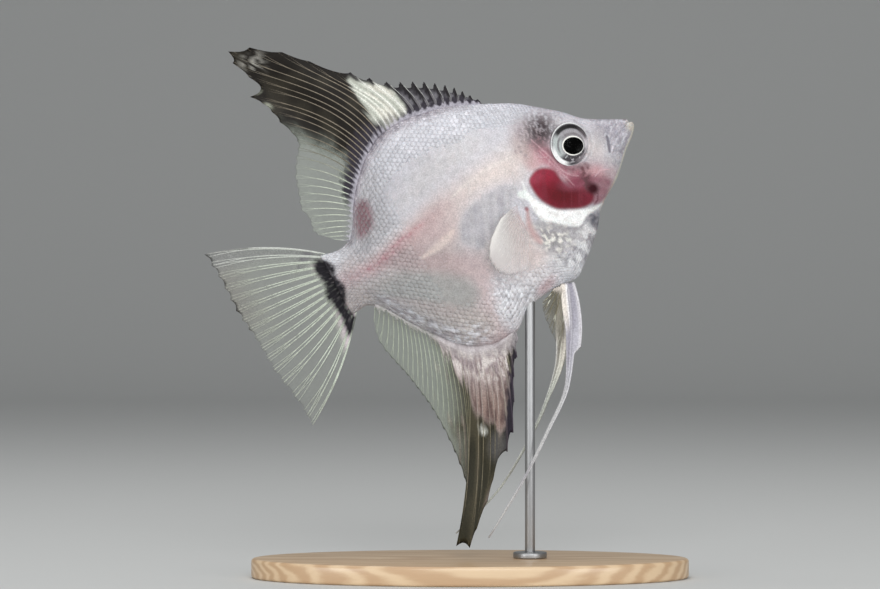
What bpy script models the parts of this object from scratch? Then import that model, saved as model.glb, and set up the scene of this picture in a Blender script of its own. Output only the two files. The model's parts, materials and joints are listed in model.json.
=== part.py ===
"""Freshwater angelfish, as a still, life-size model held on a small display stand.

The fish is modelled straight and level, then pitched nose up about the tip of its mouth. Its own
frame counts, in millimetres, u tailwards from the mouth, v upwards and y towards its left side.
The row's frame has +X the way the fish faces, +Z up, and its origin under the middle of the base.
"""

import bisect
import math

import bmesh
import bpy
from mathutils import Vector

MM = 0.001

# Driving dimensions, in millimetres unless they say otherwise
STANDARD_LENGTH = 60.0  # tip of the mouth to the root of the tail fin
PITCH = math.radians(28.0)  # nose up, as the fish turns towards the surface
MOUTH = (29.2, 80.7)  # tip of the mouth: forward of the base's middle, above the floor
GAP = 0.3  # clear width of the thin cut between two neighbouring solids
FIN_THICKNESS = 0.55
FIN_LIFT = 0.35  # from the body's edge to the root of a fin

# The body: outline of back and belly, half width and widest level, each along u
BACK = [
    (0, 0.9), (1.7, 2.15), (7.6, 5.5), (9.8, 7.75), (12.6, 10.1), (16.9, 13.35), (22.5, 16.2),
    (29, 19), (36.5, 20.2), (41, 19.5), (44.8, 17.5), (48.2, 14.5), (51, 11), (53.3, 7.2),
    (54.9, 5.6), (57.1, 5.1), (60.3, 5.8),
]
BELLY = [
    (0, -0.3), (0.6, -1.1), (3.1, -3.2), (6.9, -6.85), (12, -10.4), (14.5, -13.5), (18.3, -16.9),
    (22.1, -19.4), (26.7, -19.2), (31.6, -19.95), (35.8, -22.8), (39.4, -23.1), (43, -22),
    (46.1, -20), (49.7, -15.8), (52, -12.6), (54.2, -9.1), (56, -6.8), (57.5, -6.1), (60.3, -6.5),
]
HALF_WIDTH = [
    (0, 0.9), (2, 1.9), (5, 2.9), (8, 3.7), (11.5, 4.3), (16, 4.75), (22, 5.05), (28, 5),
    (34, 4.6), (40, 3.9), (46, 3), (52, 2.1), (57, 1.5), (60.3, 1.2),
]
WIDEST_LEVEL = [(0, 0.3), (12, 0.2), (25, -2), (40, -2), (52, -1), (60.3, -0.4)]
ROUNDNESS = [(0, 2.2), (12, 2.1), (22, 1.85), (45, 1.7), (60.3, 1.9)]  # 2 is an ellipse
STATIONS, SIDES = 48, 28

# Where the body is parted: each cut runs from one (u, v) to another
NECK_CUT = ((17.6, 14), (13.6, -13.5))
STALK_CUT = ((56.3, 10), (56.3, -12))
MOUTH_LINE = ((-1, 1.75), (6.1, -1.95))
CHIN_CUT = ((6.1, -1.95), (5.9, -8))

# The gill cover: its outline, clockwise from the top of its front edge, and its inner depth
GILL_OUTLINE = [
    (16.4, 5.4), (18.7, 7.2), (21.2, 6.4), (23, 3.4), (24, -0.4), (24, -3.4), (23.2, -6),
    (21.6, -7.9), (19.6, -9.6), (17, -10.6), (13.7, -10.2), (11.8, -9.5), (12.4, -7.4),
    (14.8, -4.8), (16.4, -1.2), (16.6, 2.4),
]
GILL_DEPTH = 2.6
GILL_CORNERS = 42

# The eye: a ball flattened towards the skin, seated in a socket and turned a little forward
EYE_CENTRE = (11.45, 3.45, 2.1)  # u, y, v
EYE_RADIUS = 3.75
EYE_BULGE, EYE_BACK = 1.5, 2.6  # how far it stands out of, and into, its middle plane
EYE_TURN = math.radians(8.0)

# Fins: number of each kind of ray, where the roots run along u, and the curve of the tips
DORSAL_SPINES = 12
DORSAL_SPINE_ROOTS = (22.1, 36.2)
DORSAL_SPINE_TIPS = [
    (0, (22.6, 17.4)), (3, (25.2, 20.9)), (6, (29.5, 24.35)), (9, (35.4, 27.5)),
    (11, (40.3, 32.1)),
]
DORSAL_SOFT_ROOTS = (37.4, 54.6)
DORSAL_SOFT_TIPS = [
    (0, (42.4, 33.3)), (2, (49.3, 40.9)), (4, (57.7, 45.6)), (6, (56.6, 39.8)),
    (8, (58, 36.7)), (10, (56, 32.6)), (13, (54.3, 26.8)), (15, (55.2, 24)), (18, (58.4, 18.6)),
    (21, (59.3, 13)), (23, (59, 10)), (25, (56.8, 7.1)),
]
DORSAL_SOFT_RAYS = 26
DORSAL_BOWS = (0.04, 0.04)  # bow of the first and last ray, as a share of its length
ANAL_SPINES = 6
ANAL_SPINE_ROOTS = (36, 40.5)
ANAL_SPINE_TIPS = [(0, (36.5, -24.6)), (2, (40, -29.6)), (4, (44.8, -38.2)), (5, (47.3, -40.8))]
ANAL_SOFT_ROOTS = (41.3, 56)
ANAL_SOFT_TIPS = [
    (0, (49.3, -41.2)), (3, (54.5, -47)), (6, (61.2, -52.8)), (7, (63.2, -51.4)),
    (8, (61.4, -49.8)), (10, (58.6, -46.2)), (11, (56.9, -43.8)), (13, (56.4, -40.7)), (17, (55.4, -34)),
    (20, (55.7, -27)), (24, (57, -18.4)), (27, (57.1, -10.6)),
]
ANAL_SOFT_RAYS = 28
ANAL_BOWS = (-0.04, -0.04)
NOTCH = 1.5  # depth of the membrane's notch between two long spines
TAIL_RAYS = 16
TAIL_BOWS = (0.02, -0.05)  # the top ray bows upwards and the bottom one downwards
TAIL_TIPS = [
    (0, (78.3, 15.6)), (2, (78, 10.8)), (5, (78.1, 4)), (8, (77.5, -2)), (11, (77.3, -8.5)),
    (13, (76.2, -14.5)), (14, (75.8, -18.4)), (15, (75.9, -20.5)),
]
FIN_ROWS = 6

# Pectoral fin: root on the flank, fan of rays, and how far it stands off the body
PECTORAL_ROOT = ((24.7, -4.4), (25.2, -9.8))
PECTORAL_FAN = (math.radians(-10.0), math.radians(-66.0))
PECTORAL_LENGTHS = [(0, 10), (0.3, 11.4), (0.7, 9.4), (1, 6)]
PECTORAL_STAND_OFF = math.radians(20.0)
PECTORAL_RAYS = 12

# Pelvic fins: the middle line (u, v) of each, its distance from the middle plane, half breadth
# and thickness. The first soft ray runs on as a long thread.
PELVIC_RIGHT = [(23.7, -19.85), (26, -25), (28.8, -30), (33, -36), (39.2, -40.8),
                (46.5, -46.1), (52.5, -49.8), (57, -52.5)]
PELVIC_LEFT = [(24.5, -19.75), (27.9, -25.5), (31.6, -31.4), (36.6, -36.1), (41.1, -39.7),
               (48.8, -44.7), (54.6, -47.3), (62.5, -49.6)]
PELVIC_SPREAD = [(0, 1.05), (0.2, 1.9), (0.5, 2.6), (1, 1.6)]
PELVIC_HALF_BREADTH = [(0, 1.4), (0.1, 1.9), (0.2, 2), (0.31, 1), (0.44, 0.4), (1, 0.27)]
PELVIC_THICKNESS = [(0, 0.6), (0.34, 0.55), (1, 0.54)]
PELVIC_STATIONS, PELVIC_SIDES = 34, 8

# The stand: an oval wooden plate and one steel rod that enters the belly between the pelvic fins
BASE_LENGTH, BASE_DEPTH, BASE_HEIGHT = 78.0, 38.0, 3.5
BASE_BEVEL = 0.6
BASE_SIDES = 64
ROD_FORWARD = 10.7  # from the middle of the base
ROD_RADIUS = 0.9
ROD_TOP = 49.8
ROD_FLANGE_RADIUS, ROD_FLANGE_HEIGHT = 3.0, 0.8
ROD_SIDES = 24


# Reading smooth curves

def smooth(knots, x):
    """Height at x of a smooth curve through the knots, which never overshoots one."""
    xs = [knot[0] for knot in knots]
    ys = [knot[1] for knot in knots]
    x = min(max(x, xs[0]), xs[-1])
    i = min(bisect.bisect_right(xs, x) - 1, len(xs) - 2)
    chords = [(ys[k + 1] - ys[k]) / (xs[k + 1] - xs[k]) for k in range(len(xs) - 1)]

    def slope(k):
        if k == 0 or k == len(xs) - 1:
            return chords[min(k, len(chords) - 1)]
        before, after = chords[k - 1], chords[k]
        return 2 * before * after / (before + after) if before * after > 0 else 0.0

    width = xs[i + 1] - xs[i]
    t = (x - xs[i]) / width
    return (
        ys[i] * (2 * t**3 - 3 * t**2 + 1) + ys[i + 1] * (3 * t**2 - 2 * t**3)
        + width * (slope(i) * (t**3 - 2 * t**2 + t) + slope(i + 1) * (t**3 - t**2))
    )


def smooth_point(knots, x):
    """The same for knots of (x, (u, v))."""
    return tuple(smooth([(at, point[axis]) for at, point in knots], x) for axis in (0, 1))


def rounded(points, count, closed=False):
    """count points along a Catmull-Rom curve through the given (u, v) points."""
    spans = len(points) if closed else len(points) - 1

    def control(k):
        return Vector(points[k % len(points)] if closed else points[min(max(k, 0), spans)])

    found = []
    for step in range(count):
        along = step * spans / (count if closed else count - 1)
        k = min(int(along), spans - 1)
        t = along - k
        a, b, c, d = (control(k + offset) for offset in (-1, 0, 1, 2))
        found.append(
            0.5 * (2 * b + (c - a) * t + (2 * a - 5 * b + 4 * c - d) * t**2
                   + (3 * b - a - 3 * c + d) * t**3)
        )
    return found


def local(u, y, v):
    """A point of the fish's frame, in metres, for an object that hangs on the fish's axis."""
    return Vector((-u, y, v)) * MM


# Objects and materials

def material(name, colour, roughness, metallic=0.0):
    made = bpy.data.materials.new(name)
    made.use_nodes = True
    shader = made.node_tree.nodes["Principled BSDF"]
    shader.inputs["Base Color"].default_value = (*colour, 1.0)
    shader.inputs["Roughness"].default_value = roughness
    shader.inputs["Metallic"].default_value = metallic
    made.diffuse_color = (*colour, 1.0)
    return made


def new_object(name, bm, made_of=None, parent=None):
    mesh = bpy.data.meshes.new(name)
    bm.normal_update()
    bmesh.ops.recalc_face_normals(bm, faces=bm.faces)
    bm.to_mesh(mesh)
    bm.free()
    mesh.shade_smooth()
    mesh.set_sharp_from_angle(angle=math.radians(40.0))
    piece = bpy.data.objects.new(name, mesh)
    collection = "angelfish" if made_of else "cutters"
    bpy.data.collections[collection].objects.link(piece)
    if made_of:
        mesh.materials.append(made_of)
    else:
        piece.hide_render = True
        piece.display_type = "WIRE"
    piece.parent = parent
    return piece


def cut(piece, cutter, operation="DIFFERENCE"):
    boolean = piece.modifiers.new(f"{operation.lower()} {cutter.name}", "BOOLEAN")
    boolean.operation = operation
    boolean.solver = "EXACT"
    boolean.object = cutter


def moved_grid(columns, rows, place):
    """A grid of quads whose points are moved to place(i, j), counted from 0 along each side."""
    bm = bmesh.new()
    bmesh.ops.create_grid(bm, x_segments=columns, y_segments=rows, size=0.5)
    for vert in bm.verts:
        i = round((vert.co.x + 0.5) * columns)
        j = round((vert.co.y + 0.5) * rows)
        vert.co = place(i, j)
    return bm


# The flesh: one closed loft, parted by planes

def skin(u, turn):
    """A point of the body's surface: turn goes once round from the back, over the left side."""
    back, belly = smooth(BACK, u), smooth(BELLY, u)
    level = smooth(WIDEST_LEVEL, u)
    power = 2.0 / smooth(ROUNDNESS, u)
    up, out = math.cos(turn), math.sin(turn)
    reach = back - level if up > 0 else level - belly
    v = level + math.copysign(abs(up) ** power, up) * reach
    y = math.copysign(abs(out) ** power, out) * smooth(HALF_WIDTH, u)
    return local(u, y, v)


def body_mesh():
    def place(i, j):
        along = i / STATIONS
        u = STANDARD_LENGTH * (0.7 * along + 0.3 * along**2)
        return skin(u, 2 * math.pi * (j % SIDES) / SIDES)

    bm = moved_grid(STATIONS, SIDES, place)
    bmesh.ops.remove_doubles(bm, verts=bm.verts, dist=0.001 * MM)
    rims = [edge for edge in bm.edges if edge.is_boundary]
    bmesh.ops.holes_fill(bm, edges=rims, sides=0)
    bmesh.ops.recalc_face_normals(bm, faces=bm.faces)
    return bm


def keep_side(bm, line, ahead):
    """Cuts the mesh along a line of the side view and keeps the part ahead of or behind it."""
    (u0, v0), (u1, v1) = line
    across = Vector((-(v1 - v0), 0, -(u1 - u0))).normalized()
    forward = across if across.x > 0 else -across
    kept = forward if ahead else -forward
    start = local(u0, 0, v0) + kept * GAP / 2 * MM
    result = bmesh.ops.bisect_plane(
        bm, geom=bm.verts[:] + bm.edges[:] + bm.faces[:], dist=1e-7,
        plane_co=start, plane_no=kept, clear_inner=True,
    )
    edges = [item for item in result["geom_cut"] if isinstance(item, bmesh.types.BMEdge)]
    bmesh.ops.edgeloop_fill(bm, edges=edges)


def flesh(name, cuts, made_of, axis):
    bm = body_mesh()
    for line, ahead in cuts:
        keep_side(bm, line, ahead)
    return new_object(name, bm, made_of, axis)


def prism(name, outline, y0, y1, axis):
    """A closed (u, v) outline carried from y0 to y1, as a cutter."""
    bm = bmesh.new()
    bmesh.ops.create_circle(bm, cap_ends=True, segments=len(outline), radius=1)
    for vert, (u, v) in zip(bm.verts[:], outline):
        vert.co = local(u, y0, v)
    grown = bmesh.ops.extrude_face_region(bm, geom=bm.faces[:])
    lifted = [item for item in grown["geom"] if isinstance(item, bmesh.types.BMVert)]
    bmesh.ops.translate(bm, verts=lifted, vec=(0, (y1 - y0) * MM, 0))
    return new_object(name, bm, None, axis)


def gill_outline(growth):
    points = rounded(GILL_OUTLINE, GILL_CORNERS, closed=True)
    count = len(points)
    found = []
    for k, point in enumerate(points):
        run = (points[(k + 1) % count] - points[k - 1]).normalized()
        found.append(point + Vector((-run.y, run.x)) * growth)
    return found


def jaw_wedge(axis):
    """The room the lower jaw takes out of the head, a gap wider than the jaw all round."""
    (u0, v0), (u1, v1) = MOUTH_LINE
    (_, _), (u2, v2) = CHIN_CUT
    outline = [(u0, v0 + GAP / 2), (u1 + GAP / 2, v1 + GAP / 2), (u2 + GAP / 2, v2), (u0, v2)]
    width = HALF_WIDTH[-1][0]
    return prism("jaw_room", outline, -width, width, axis)


def eyeball(side, growth):
    """An oblate ball, deeper behind its middle plane than in front of it."""
    bm = bmesh.new()
    bmesh.ops.create_uvsphere(bm, u_segments=20, v_segments=12, radius=1)
    for vert in bm.verts:
        # The ball's poles lie across the fish
        x, y, z = vert.co.x, vert.co.z, vert.co.y
        depth = (EYE_BULGE if y > 0 else EYE_BACK) + growth
        radius = EYE_RADIUS + growth
        turned = x * radius * math.cos(EYE_TURN) + y * depth * math.sin(EYE_TURN)
        out = y * depth * math.cos(EYE_TURN) - x * radius * math.sin(EYE_TURN)
        centre_u, centre_y, centre_v = EYE_CENTRE
        vert.co = local(centre_u - turned, side * (centre_y + out), centre_v + z * radius)
    return bm


def make_flesh(axis, made_of):
    head = flesh("head", [(NECK_CUT, True)], made_of, axis)
    flesh("lower_jaw", [(MOUTH_LINE, True), (CHIN_CUT, True)], made_of, axis)
    trunk = flesh("trunk", [(NECK_CUT, False), (STALK_CUT, True)], made_of, axis)
    flesh("tail_stalk", [(STALK_CUT, False)], made_of, axis)
    cut(head, jaw_wedge(axis))
    outer = 2 * HALF_WIDTH[6][1]
    for side, word in ((1, "left"), (-1, "right")):
        cover = flesh(f"gill_cover_{word}", [], made_of, axis)
        inner = side * GILL_DEPTH
        room = side * (GILL_DEPTH - GAP)
        cut(cover, prism(f"gill_plate_{word}", gill_outline(0), inner, side * outer, axis),
            "INTERSECT")
        room_cutter = prism(f"gill_room_{word}", gill_outline(GAP), room, side * outer, axis)
        cut(head, room_cutter)
        cut(trunk, room_cutter)
        cut(head, new_object(f"socket_{word}", eyeball(side, GAP), None, axis))
    return trunk


def make_eyes(axis, made_of):
    for side, word in ((1, "left"), (-1, "right")):
        new_object(f"eye_{word}", eyeball(side, 0), made_of, axis)


# Fins: columns of points, one along each ray, made thick by Solidify

def edge_point(profile, u, lift):
    """A point just off the body's edge, measured square to it."""
    step = 0.05
    rise = (smooth(profile, u + step) - smooth(profile, u - step)) / (2 * step)
    outward = 1 if profile is BACK else -1
    normal = Vector((-rise, 1)).normalized() * outward
    return Vector((u, smooth(profile, u))) + normal * lift


def spaced(profile, ends, count):
    """Roots at even steps along the body's edge from one u to another."""
    fine = 200
    us = [ends[0] + (ends[1] - ends[0]) * k / fine for k in range(fine + 1)]
    points = [Vector((u, smooth(profile, u))) for u in us]
    lengths = [0.0]
    for before, after in zip(points, points[1:]):
        lengths.append(lengths[-1] + (after - before).length)
    found = []
    for k in range(count):
        target = lengths[-1] * k / (count - 1)
        found.append(us[min(bisect.bisect_left(lengths, target), fine)])
    return found


def ray(root, tip, bend, along):
    """A point on a ray that bows by bend times its length."""
    root, tip = Vector(root), Vector(tip)
    span = tip - root
    bow = Vector((-span.y, span.x)) * bend * 4 * along * (1 - along)
    return root + span * along + bow


def fin(name, columns, bends, made_of, axis):
    """A fin in the middle plane from its (root, tip) columns; bends are its first and last."""
    def place(i, j):
        bend = bends[0] + (bends[1] - bends[0]) * i / (len(columns) - 1)
        point = ray(*columns[i], bend, j / FIN_ROWS)
        return local(point.x, 0, point.y)

    piece = new_object(name, moved_grid(len(columns) - 1, FIN_ROWS, place), made_of, axis)
    thicken(piece)
    return piece


def thicken(piece):
    wall = piece.modifiers.new("thickness", "SOLIDIFY")
    wall.thickness = FIN_THICKNESS * MM
    wall.offset = 0


def spiny_columns(profile, count, roots, tips, deepest):
    """Columns for the spines, with a notched one between each two."""
    us = spaced(profile, roots, 2 * count - 1)
    columns = []
    for k, u in enumerate(us):
        root = edge_point(profile, u, FIN_LIFT)
        tip = Vector(smooth_point(tips, k / 2))
        if k % 2:
            depth = deepest * min(1.0, 0.35 + k / len(us))
            tip += (root - tip).normalized() * depth
        columns.append((root, tip))
    return columns


def soft_columns(profile, count, roots, tips):
    us = spaced(profile, roots, count)
    return [
        (edge_point(profile, u, FIN_LIFT), Vector(smooth_point(tips, k)))
        for k, u in enumerate(us)
    ]


def make_middle_fins(axis, clear, dark):
    dorsal = spiny_columns(BACK, DORSAL_SPINES, DORSAL_SPINE_ROOTS, DORSAL_SPINE_TIPS, NOTCH)
    dorsal += soft_columns(BACK, DORSAL_SOFT_RAYS, DORSAL_SOFT_ROOTS, DORSAL_SOFT_TIPS)
    fin("dorsal_fin", dorsal, DORSAL_BOWS, dark, axis)
    anal = spiny_columns(BELLY, ANAL_SPINES, ANAL_SPINE_ROOTS, ANAL_SPINE_TIPS, NOTCH)
    anal += soft_columns(BELLY, ANAL_SOFT_RAYS, ANAL_SOFT_ROOTS, ANAL_SOFT_TIPS)
    fin("anal_fin", anal, ANAL_BOWS, dark, axis)
    top, bottom = BACK[-1][1], BELLY[-1][1]
    tail = []
    for k in range(TAIL_RAYS):
        share = k / (TAIL_RAYS - 1)
        root = (STANDARD_LENGTH + FIN_LIFT, top + (bottom - top) * share)
        tail.append((root, smooth_point(TAIL_TIPS, k)))
    fin("tail_fin", tail, TAIL_BOWS, clear, axis)


def pectoral_mesh(side):
    """A fan that starts just off the flank and stands away from it towards its tips."""
    (u0, v0), (u1, v1) = PECTORAL_ROOT

    def place(i, j):
        share = i / PECTORAL_RAYS
        length = smooth(PECTORAL_LENGTHS, share) * j / FIN_ROWS
        heading = PECTORAL_FAN[0] + (PECTORAL_FAN[1] - PECTORAL_FAN[0]) * share
        root_y = smooth(HALF_WIDTH, u0) + FIN_THICKNESS
        u = u0 + (u1 - u0) * share + length * math.cos(heading) * math.cos(PECTORAL_STAND_OFF)
        v = v0 + (v1 - v0) * share + length * math.sin(heading) * math.cos(PECTORAL_STAND_OFF)
        return local(u, side * (root_y + length * math.sin(PECTORAL_STAND_OFF)), v)

    return moved_grid(PECTORAL_RAYS, FIN_ROWS, place)


def pelvic_mesh(side, middle):
    """A flat blade that narrows to a thread, lofted along its middle line."""
    line = rounded(middle, PELVIC_STATIONS + 1)

    def place(i, j):
        share = i / PELVIC_STATIONS
        before = line[max(i - 1, 0)]
        after = line[min(i + 1, PELVIC_STATIONS)]
        run = (after - before).normalized()
        turn = 2 * math.pi * (j % PELVIC_SIDES) / PELVIC_SIDES
        breadth = smooth(PELVIC_HALF_BREADTH, share) * math.cos(turn)
        thickness = smooth(PELVIC_THICKNESS, share) / 2 * math.sin(turn)
        point = line[i] + Vector((-run.y, run.x)) * breadth
        return local(point.x, side * smooth(PELVIC_SPREAD, share) + thickness, point.y)

    bm = moved_grid(PELVIC_STATIONS, PELVIC_SIDES, place)
    bmesh.ops.remove_doubles(bm, verts=bm.verts, dist=0.001 * MM)
    bmesh.ops.holes_fill(bm, edges=[edge for edge in bm.edges if edge.is_boundary], sides=0)
    return bm


def make_paired_fins(axis, clear, pale):
    for side, word, middle in ((1, "left", PELVIC_LEFT), (-1, "right", PELVIC_RIGHT)):
        thicken(new_object(f"pectoral_fin_{word}", pectoral_mesh(side), clear, axis))
        new_object(f"pelvic_fin_{word}", pelvic_mesh(side, middle), pale, axis)


# The stand

def cylinder(radius_x, radius_y, bottom, top, sides, centre_x=0.0):
    bm = bmesh.new()
    bmesh.ops.create_cone(bm, cap_ends=True, segments=sides, radius1=1, radius2=1,
                          depth=(top - bottom) * MM)
    bmesh.ops.scale(bm, verts=bm.verts, vec=(radius_x * MM, radius_y * MM, 1))
    bmesh.ops.translate(bm, verts=bm.verts, vec=(centre_x * MM, 0, (top + bottom) / 2 * MM))
    return bm


def make_stand(trunk, wood, steel):
    base = new_object(
        "stand_base", cylinder(BASE_LENGTH / 2, BASE_DEPTH / 2, 0, BASE_HEIGHT, BASE_SIDES), wood
    )
    edge = base.modifiers.new("rounded rim", "BEVEL")
    edge.width = BASE_BEVEL * MM
    edge.segments = 2
    edge.limit_method = "ANGLE"

    # A turned rod with a small flange at its foot, as a profile spun about its own axis
    foot = BASE_HEIGHT + GAP
    profile = [
        (0, ROD_TOP), (ROD_RADIUS * 0.7, ROD_TOP), (ROD_RADIUS, ROD_TOP - 0.4),
        (ROD_RADIUS, foot + ROD_FLANGE_HEIGHT + 0.5), (ROD_RADIUS + 0.6, foot + ROD_FLANGE_HEIGHT),
        (ROD_FLANGE_RADIUS, foot + ROD_FLANGE_HEIGHT), (ROD_FLANGE_RADIUS, foot), (0, foot),
    ]
    bm = bmesh.new()
    verts = [bm.verts.new((radius * MM, 0, height * MM)) for radius, height in profile]
    for before, after in zip(verts, verts[1:]):
        bm.edges.new((before, after))
    bmesh.ops.spin(
        bm, geom=bm.verts[:] + bm.edges[:], cent=(0, 0, 0), axis=(0, 0, 1),
        angle=2 * math.pi, steps=ROD_SIDES, use_merge=True, use_duplicate=False,
    )
    bmesh.ops.remove_doubles(bm, verts=bm.verts, dist=0.001 * MM)
    bmesh.ops.translate(bm, verts=bm.verts, vec=(ROD_FORWARD * MM, 0, 0))
    new_object("stand_rod", bm, steel)

    # The hole in the belly that the rod stands in
    radius = ROD_RADIUS + GAP
    hole = new_object(
        "rod_hole", cylinder(radius, radius, BASE_HEIGHT, ROD_TOP + GAP, ROD_SIDES, ROD_FORWARD)
    )
    cut(trunk, hole)


def main():
    for old in list(bpy.data.objects):
        bpy.data.objects.remove(old)
    for name in ("angelfish", "cutters"):
        bpy.context.scene.collection.children.link(bpy.data.collections.new(name))

    skin_colour = material("silver_skin", (0.62, 0.58, 0.62), 0.4)
    eye_colour = material("eye", (0.05, 0.05, 0.06), 0.08)
    dark_fin = material("dark_fin", (0.1, 0.08, 0.09), 0.5)
    clear_fin = material("clear_fin", (0.5, 0.55, 0.48), 0.35)
    pale_fin = material("pale_fin", (0.72, 0.69, 0.66), 0.4)
    wood = material("maple", (0.62, 0.44, 0.27), 0.45)
    steel = material("steel", (0.6, 0.6, 0.62), 0.3, 1.0)

    axis = bpy.data.objects.new("fish_axis", None)
    bpy.data.collections["angelfish"].objects.link(axis)
    axis.location = (MOUTH[0] * MM, 0, MOUTH[1] * MM)
    axis.rotation_euler = (0, -PITCH, 0)

    trunk = make_flesh(axis, skin_colour)
    make_eyes(axis, eye_colour)
    make_middle_fins(axis, clear_fin, dark_fin)
    make_paired_fins(axis, clear_fin, pale_fin)
    make_stand(trunk, wood, steel)


main()
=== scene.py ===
# %% [markdown]
# # A freshwater angelfish on a display stand
# A young angelfish, life size, held nose up on a steel pin above a small maple base. The solids
# of the imported model give its true outline. Here they get their looks: one smooth skin with real
# scales over it, fins of thin membrane over fine rays, wet eyes, varnished wood and brushed steel.
# The first cell loads the imported model and keeps its box.

# %% Load the frame
import json
import math

import bmesh
import bpy
import numpy as np
from mathutils import Matrix, Vector

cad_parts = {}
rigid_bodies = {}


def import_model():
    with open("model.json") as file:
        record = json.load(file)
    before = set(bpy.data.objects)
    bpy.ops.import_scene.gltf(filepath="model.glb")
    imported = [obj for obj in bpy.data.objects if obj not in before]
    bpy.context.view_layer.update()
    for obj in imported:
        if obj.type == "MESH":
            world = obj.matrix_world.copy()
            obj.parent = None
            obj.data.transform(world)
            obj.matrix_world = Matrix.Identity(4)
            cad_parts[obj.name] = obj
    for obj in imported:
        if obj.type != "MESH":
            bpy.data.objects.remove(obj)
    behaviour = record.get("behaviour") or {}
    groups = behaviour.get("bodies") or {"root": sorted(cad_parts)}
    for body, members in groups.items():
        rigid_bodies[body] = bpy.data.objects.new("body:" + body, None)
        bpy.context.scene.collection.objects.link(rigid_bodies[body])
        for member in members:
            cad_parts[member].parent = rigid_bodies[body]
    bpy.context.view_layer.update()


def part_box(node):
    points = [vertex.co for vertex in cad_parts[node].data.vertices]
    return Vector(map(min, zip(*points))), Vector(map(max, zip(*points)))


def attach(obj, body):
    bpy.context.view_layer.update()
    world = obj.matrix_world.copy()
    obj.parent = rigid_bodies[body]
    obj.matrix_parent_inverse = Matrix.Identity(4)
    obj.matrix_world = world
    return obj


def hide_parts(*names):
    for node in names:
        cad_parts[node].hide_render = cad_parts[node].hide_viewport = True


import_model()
MM = 0.001

# %% [markdown]
# A fish is easiest to draw lying level, so every point below is given in the fish's own frame, in
# millimetres: u runs tailwards from the tip of the mouth, y to its left and v upwards. One matrix
# then pitches the level fish nose up and sets its mouth where the solids have it.

# %% The fish's own frame
PITCH = math.radians(28.0)
MOUTH = Vector((29.2, 0, 80.7)) * MM
to_row = Matrix.Translation(MOUTH) @ Matrix.Rotation(-PITCH, 4, "Y") @ Matrix.Diagonal((-MM, MM, MM, 1))
EYE_CENTRE = (11.45, 3.45, 2.1)  # u, y, v
SIDES = ((1, "left"), (-1, "right"))  # y points to the fish's left


def place_rows(points):
    """Fish-frame points, as rows of u, y, v in mm, moved to the row's frame in metres."""
    matrix = np.array(to_row)
    return points @ matrix[:3, :3].T + matrix[:3, 3]


eye_low, eye_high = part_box("eye_left")
eye_middle = to_row @ Vector(EYE_CENTRE)
print("eye centre off the solid's by mm:", round((eye_middle - (eye_low + eye_high) / 2).length / MM, 2))

# %% [markdown]
# The outlines are the same few knots that shaped the solids. A curve through them bends smoothly
# and never overshoots a knot, which matters for a snout that has a dip just before the eye.
# Arrays of numbers are read at once, because the skin alone has a hundred thousand points.

# %% Outlines of the body
BACK = [
    (0, 0.62), (0.4, 1), (0.75, 1.62), (1.7, 2.15), (7.6, 5.5), (9.8, 7.75), (12.6, 10.1),
    (16.9, 13.35), (22.5, 16.2), (29, 19), (36.5, 20.2), (41, 19.5), (44.8, 17.5), (48.2, 14.5),
    (51, 11), (53.3, 7.2), (54.9, 5.6), (57.1, 5.1), (60.3, 5.8),
]
BELLY = [
    (0, -0.25), (0.6, -1.1), (3.1, -3.2), (6.9, -6.85), (12, -10.4), (14.5, -13.5),
    (18.3, -16.9), (22.1, -19.4), (26.7, -19.2), (31.6, -19.95), (35.8, -22.8), (39.4, -23.1),
    (43, -22), (46.1, -20), (49.7, -15.8), (52, -12.6), (54.2, -9.1), (56, -6.8),
    (57.5, -6.1), (60.3, -6.5),
]
HALF_WIDTH = [
    (0, 0.7), (0.6, 1.15), (2, 1.9), (5, 2.9), (8, 3.7), (11.5, 4.3), (16, 4.75), (22, 5.05),
    (28, 5), (34, 4.6), (40, 3.9), (46, 3), (52, 2.1), (57, 1.5), (60.3, 1.2),
]
WIDEST_LEVEL = [(0, 0.3), (12, 0.2), (25, -2), (40, -2), (52, -1), (60.3, -0.4)]
ROUNDNESS = [(0, 2.2), (12, 2.1), (22, 1.85), (45, 1.7), (60.3, 1.9)]
BODY_LENGTH = 60.3


def smooth(knots, x):
    """Height at x of a smooth curve through the knots, for a number or an array."""
    xs, ys = np.array(knots, float).T
    x = np.clip(x, xs[0], xs[-1])
    chord = np.diff(ys) / np.diff(xs)
    rising = chord[:-1] * chord[1:] > 0
    inner = np.where(rising, 2 * chord[:-1] * chord[1:] / np.where(rising, chord[:-1] + chord[1:], 1), 0)
    slope = np.concatenate([chord[:1], inner, chord[-1:]])
    i = np.clip(np.searchsorted(xs, x, side="right") - 1, 0, len(xs) - 2)
    width = xs[i + 1] - xs[i]
    t = (x - xs[i]) / width
    return (
        ys[i] * (2 * t**3 - 3 * t**2 + 1) + ys[i + 1] * (3 * t**2 - 2 * t**3)
        + width * (slope[i] * (t**3 - 2 * t**2 + t) + slope[i + 1] * (t**3 - t**2))
    )


def body_point(u, turn):
    """The bare body's surface: turn goes once round from the back, over the left side."""
    back, belly, level = smooth(BACK, u), smooth(BELLY, u), smooth(WIDEST_LEVEL, u)
    power = 2.0 / smooth(ROUNDNESS, u)
    up, out = np.cos(turn), np.sin(turn)
    reach = np.where(up > 0, back - level, level - belly)
    v = level + np.sign(up) * np.abs(up) ** power * reach
    y = np.sign(out) * np.abs(out) ** power * smooth(HALF_WIDTH, u)
    return np.stack(np.broadcast_arrays(u, y, v), -1)


print("half width at the gills, mm:", round(float(smooth(HALF_WIDTH, 22)), 2))

# %% [markdown]
# Markings and relief both come from soft shapes drawn on the fish's side view. All of them are
# plain functions of u and v, so skin, scales and fins that ask at the same place get the same
# answer. The softness comes from one curve, and a blot is an ellipse that fades at its rim.

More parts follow.
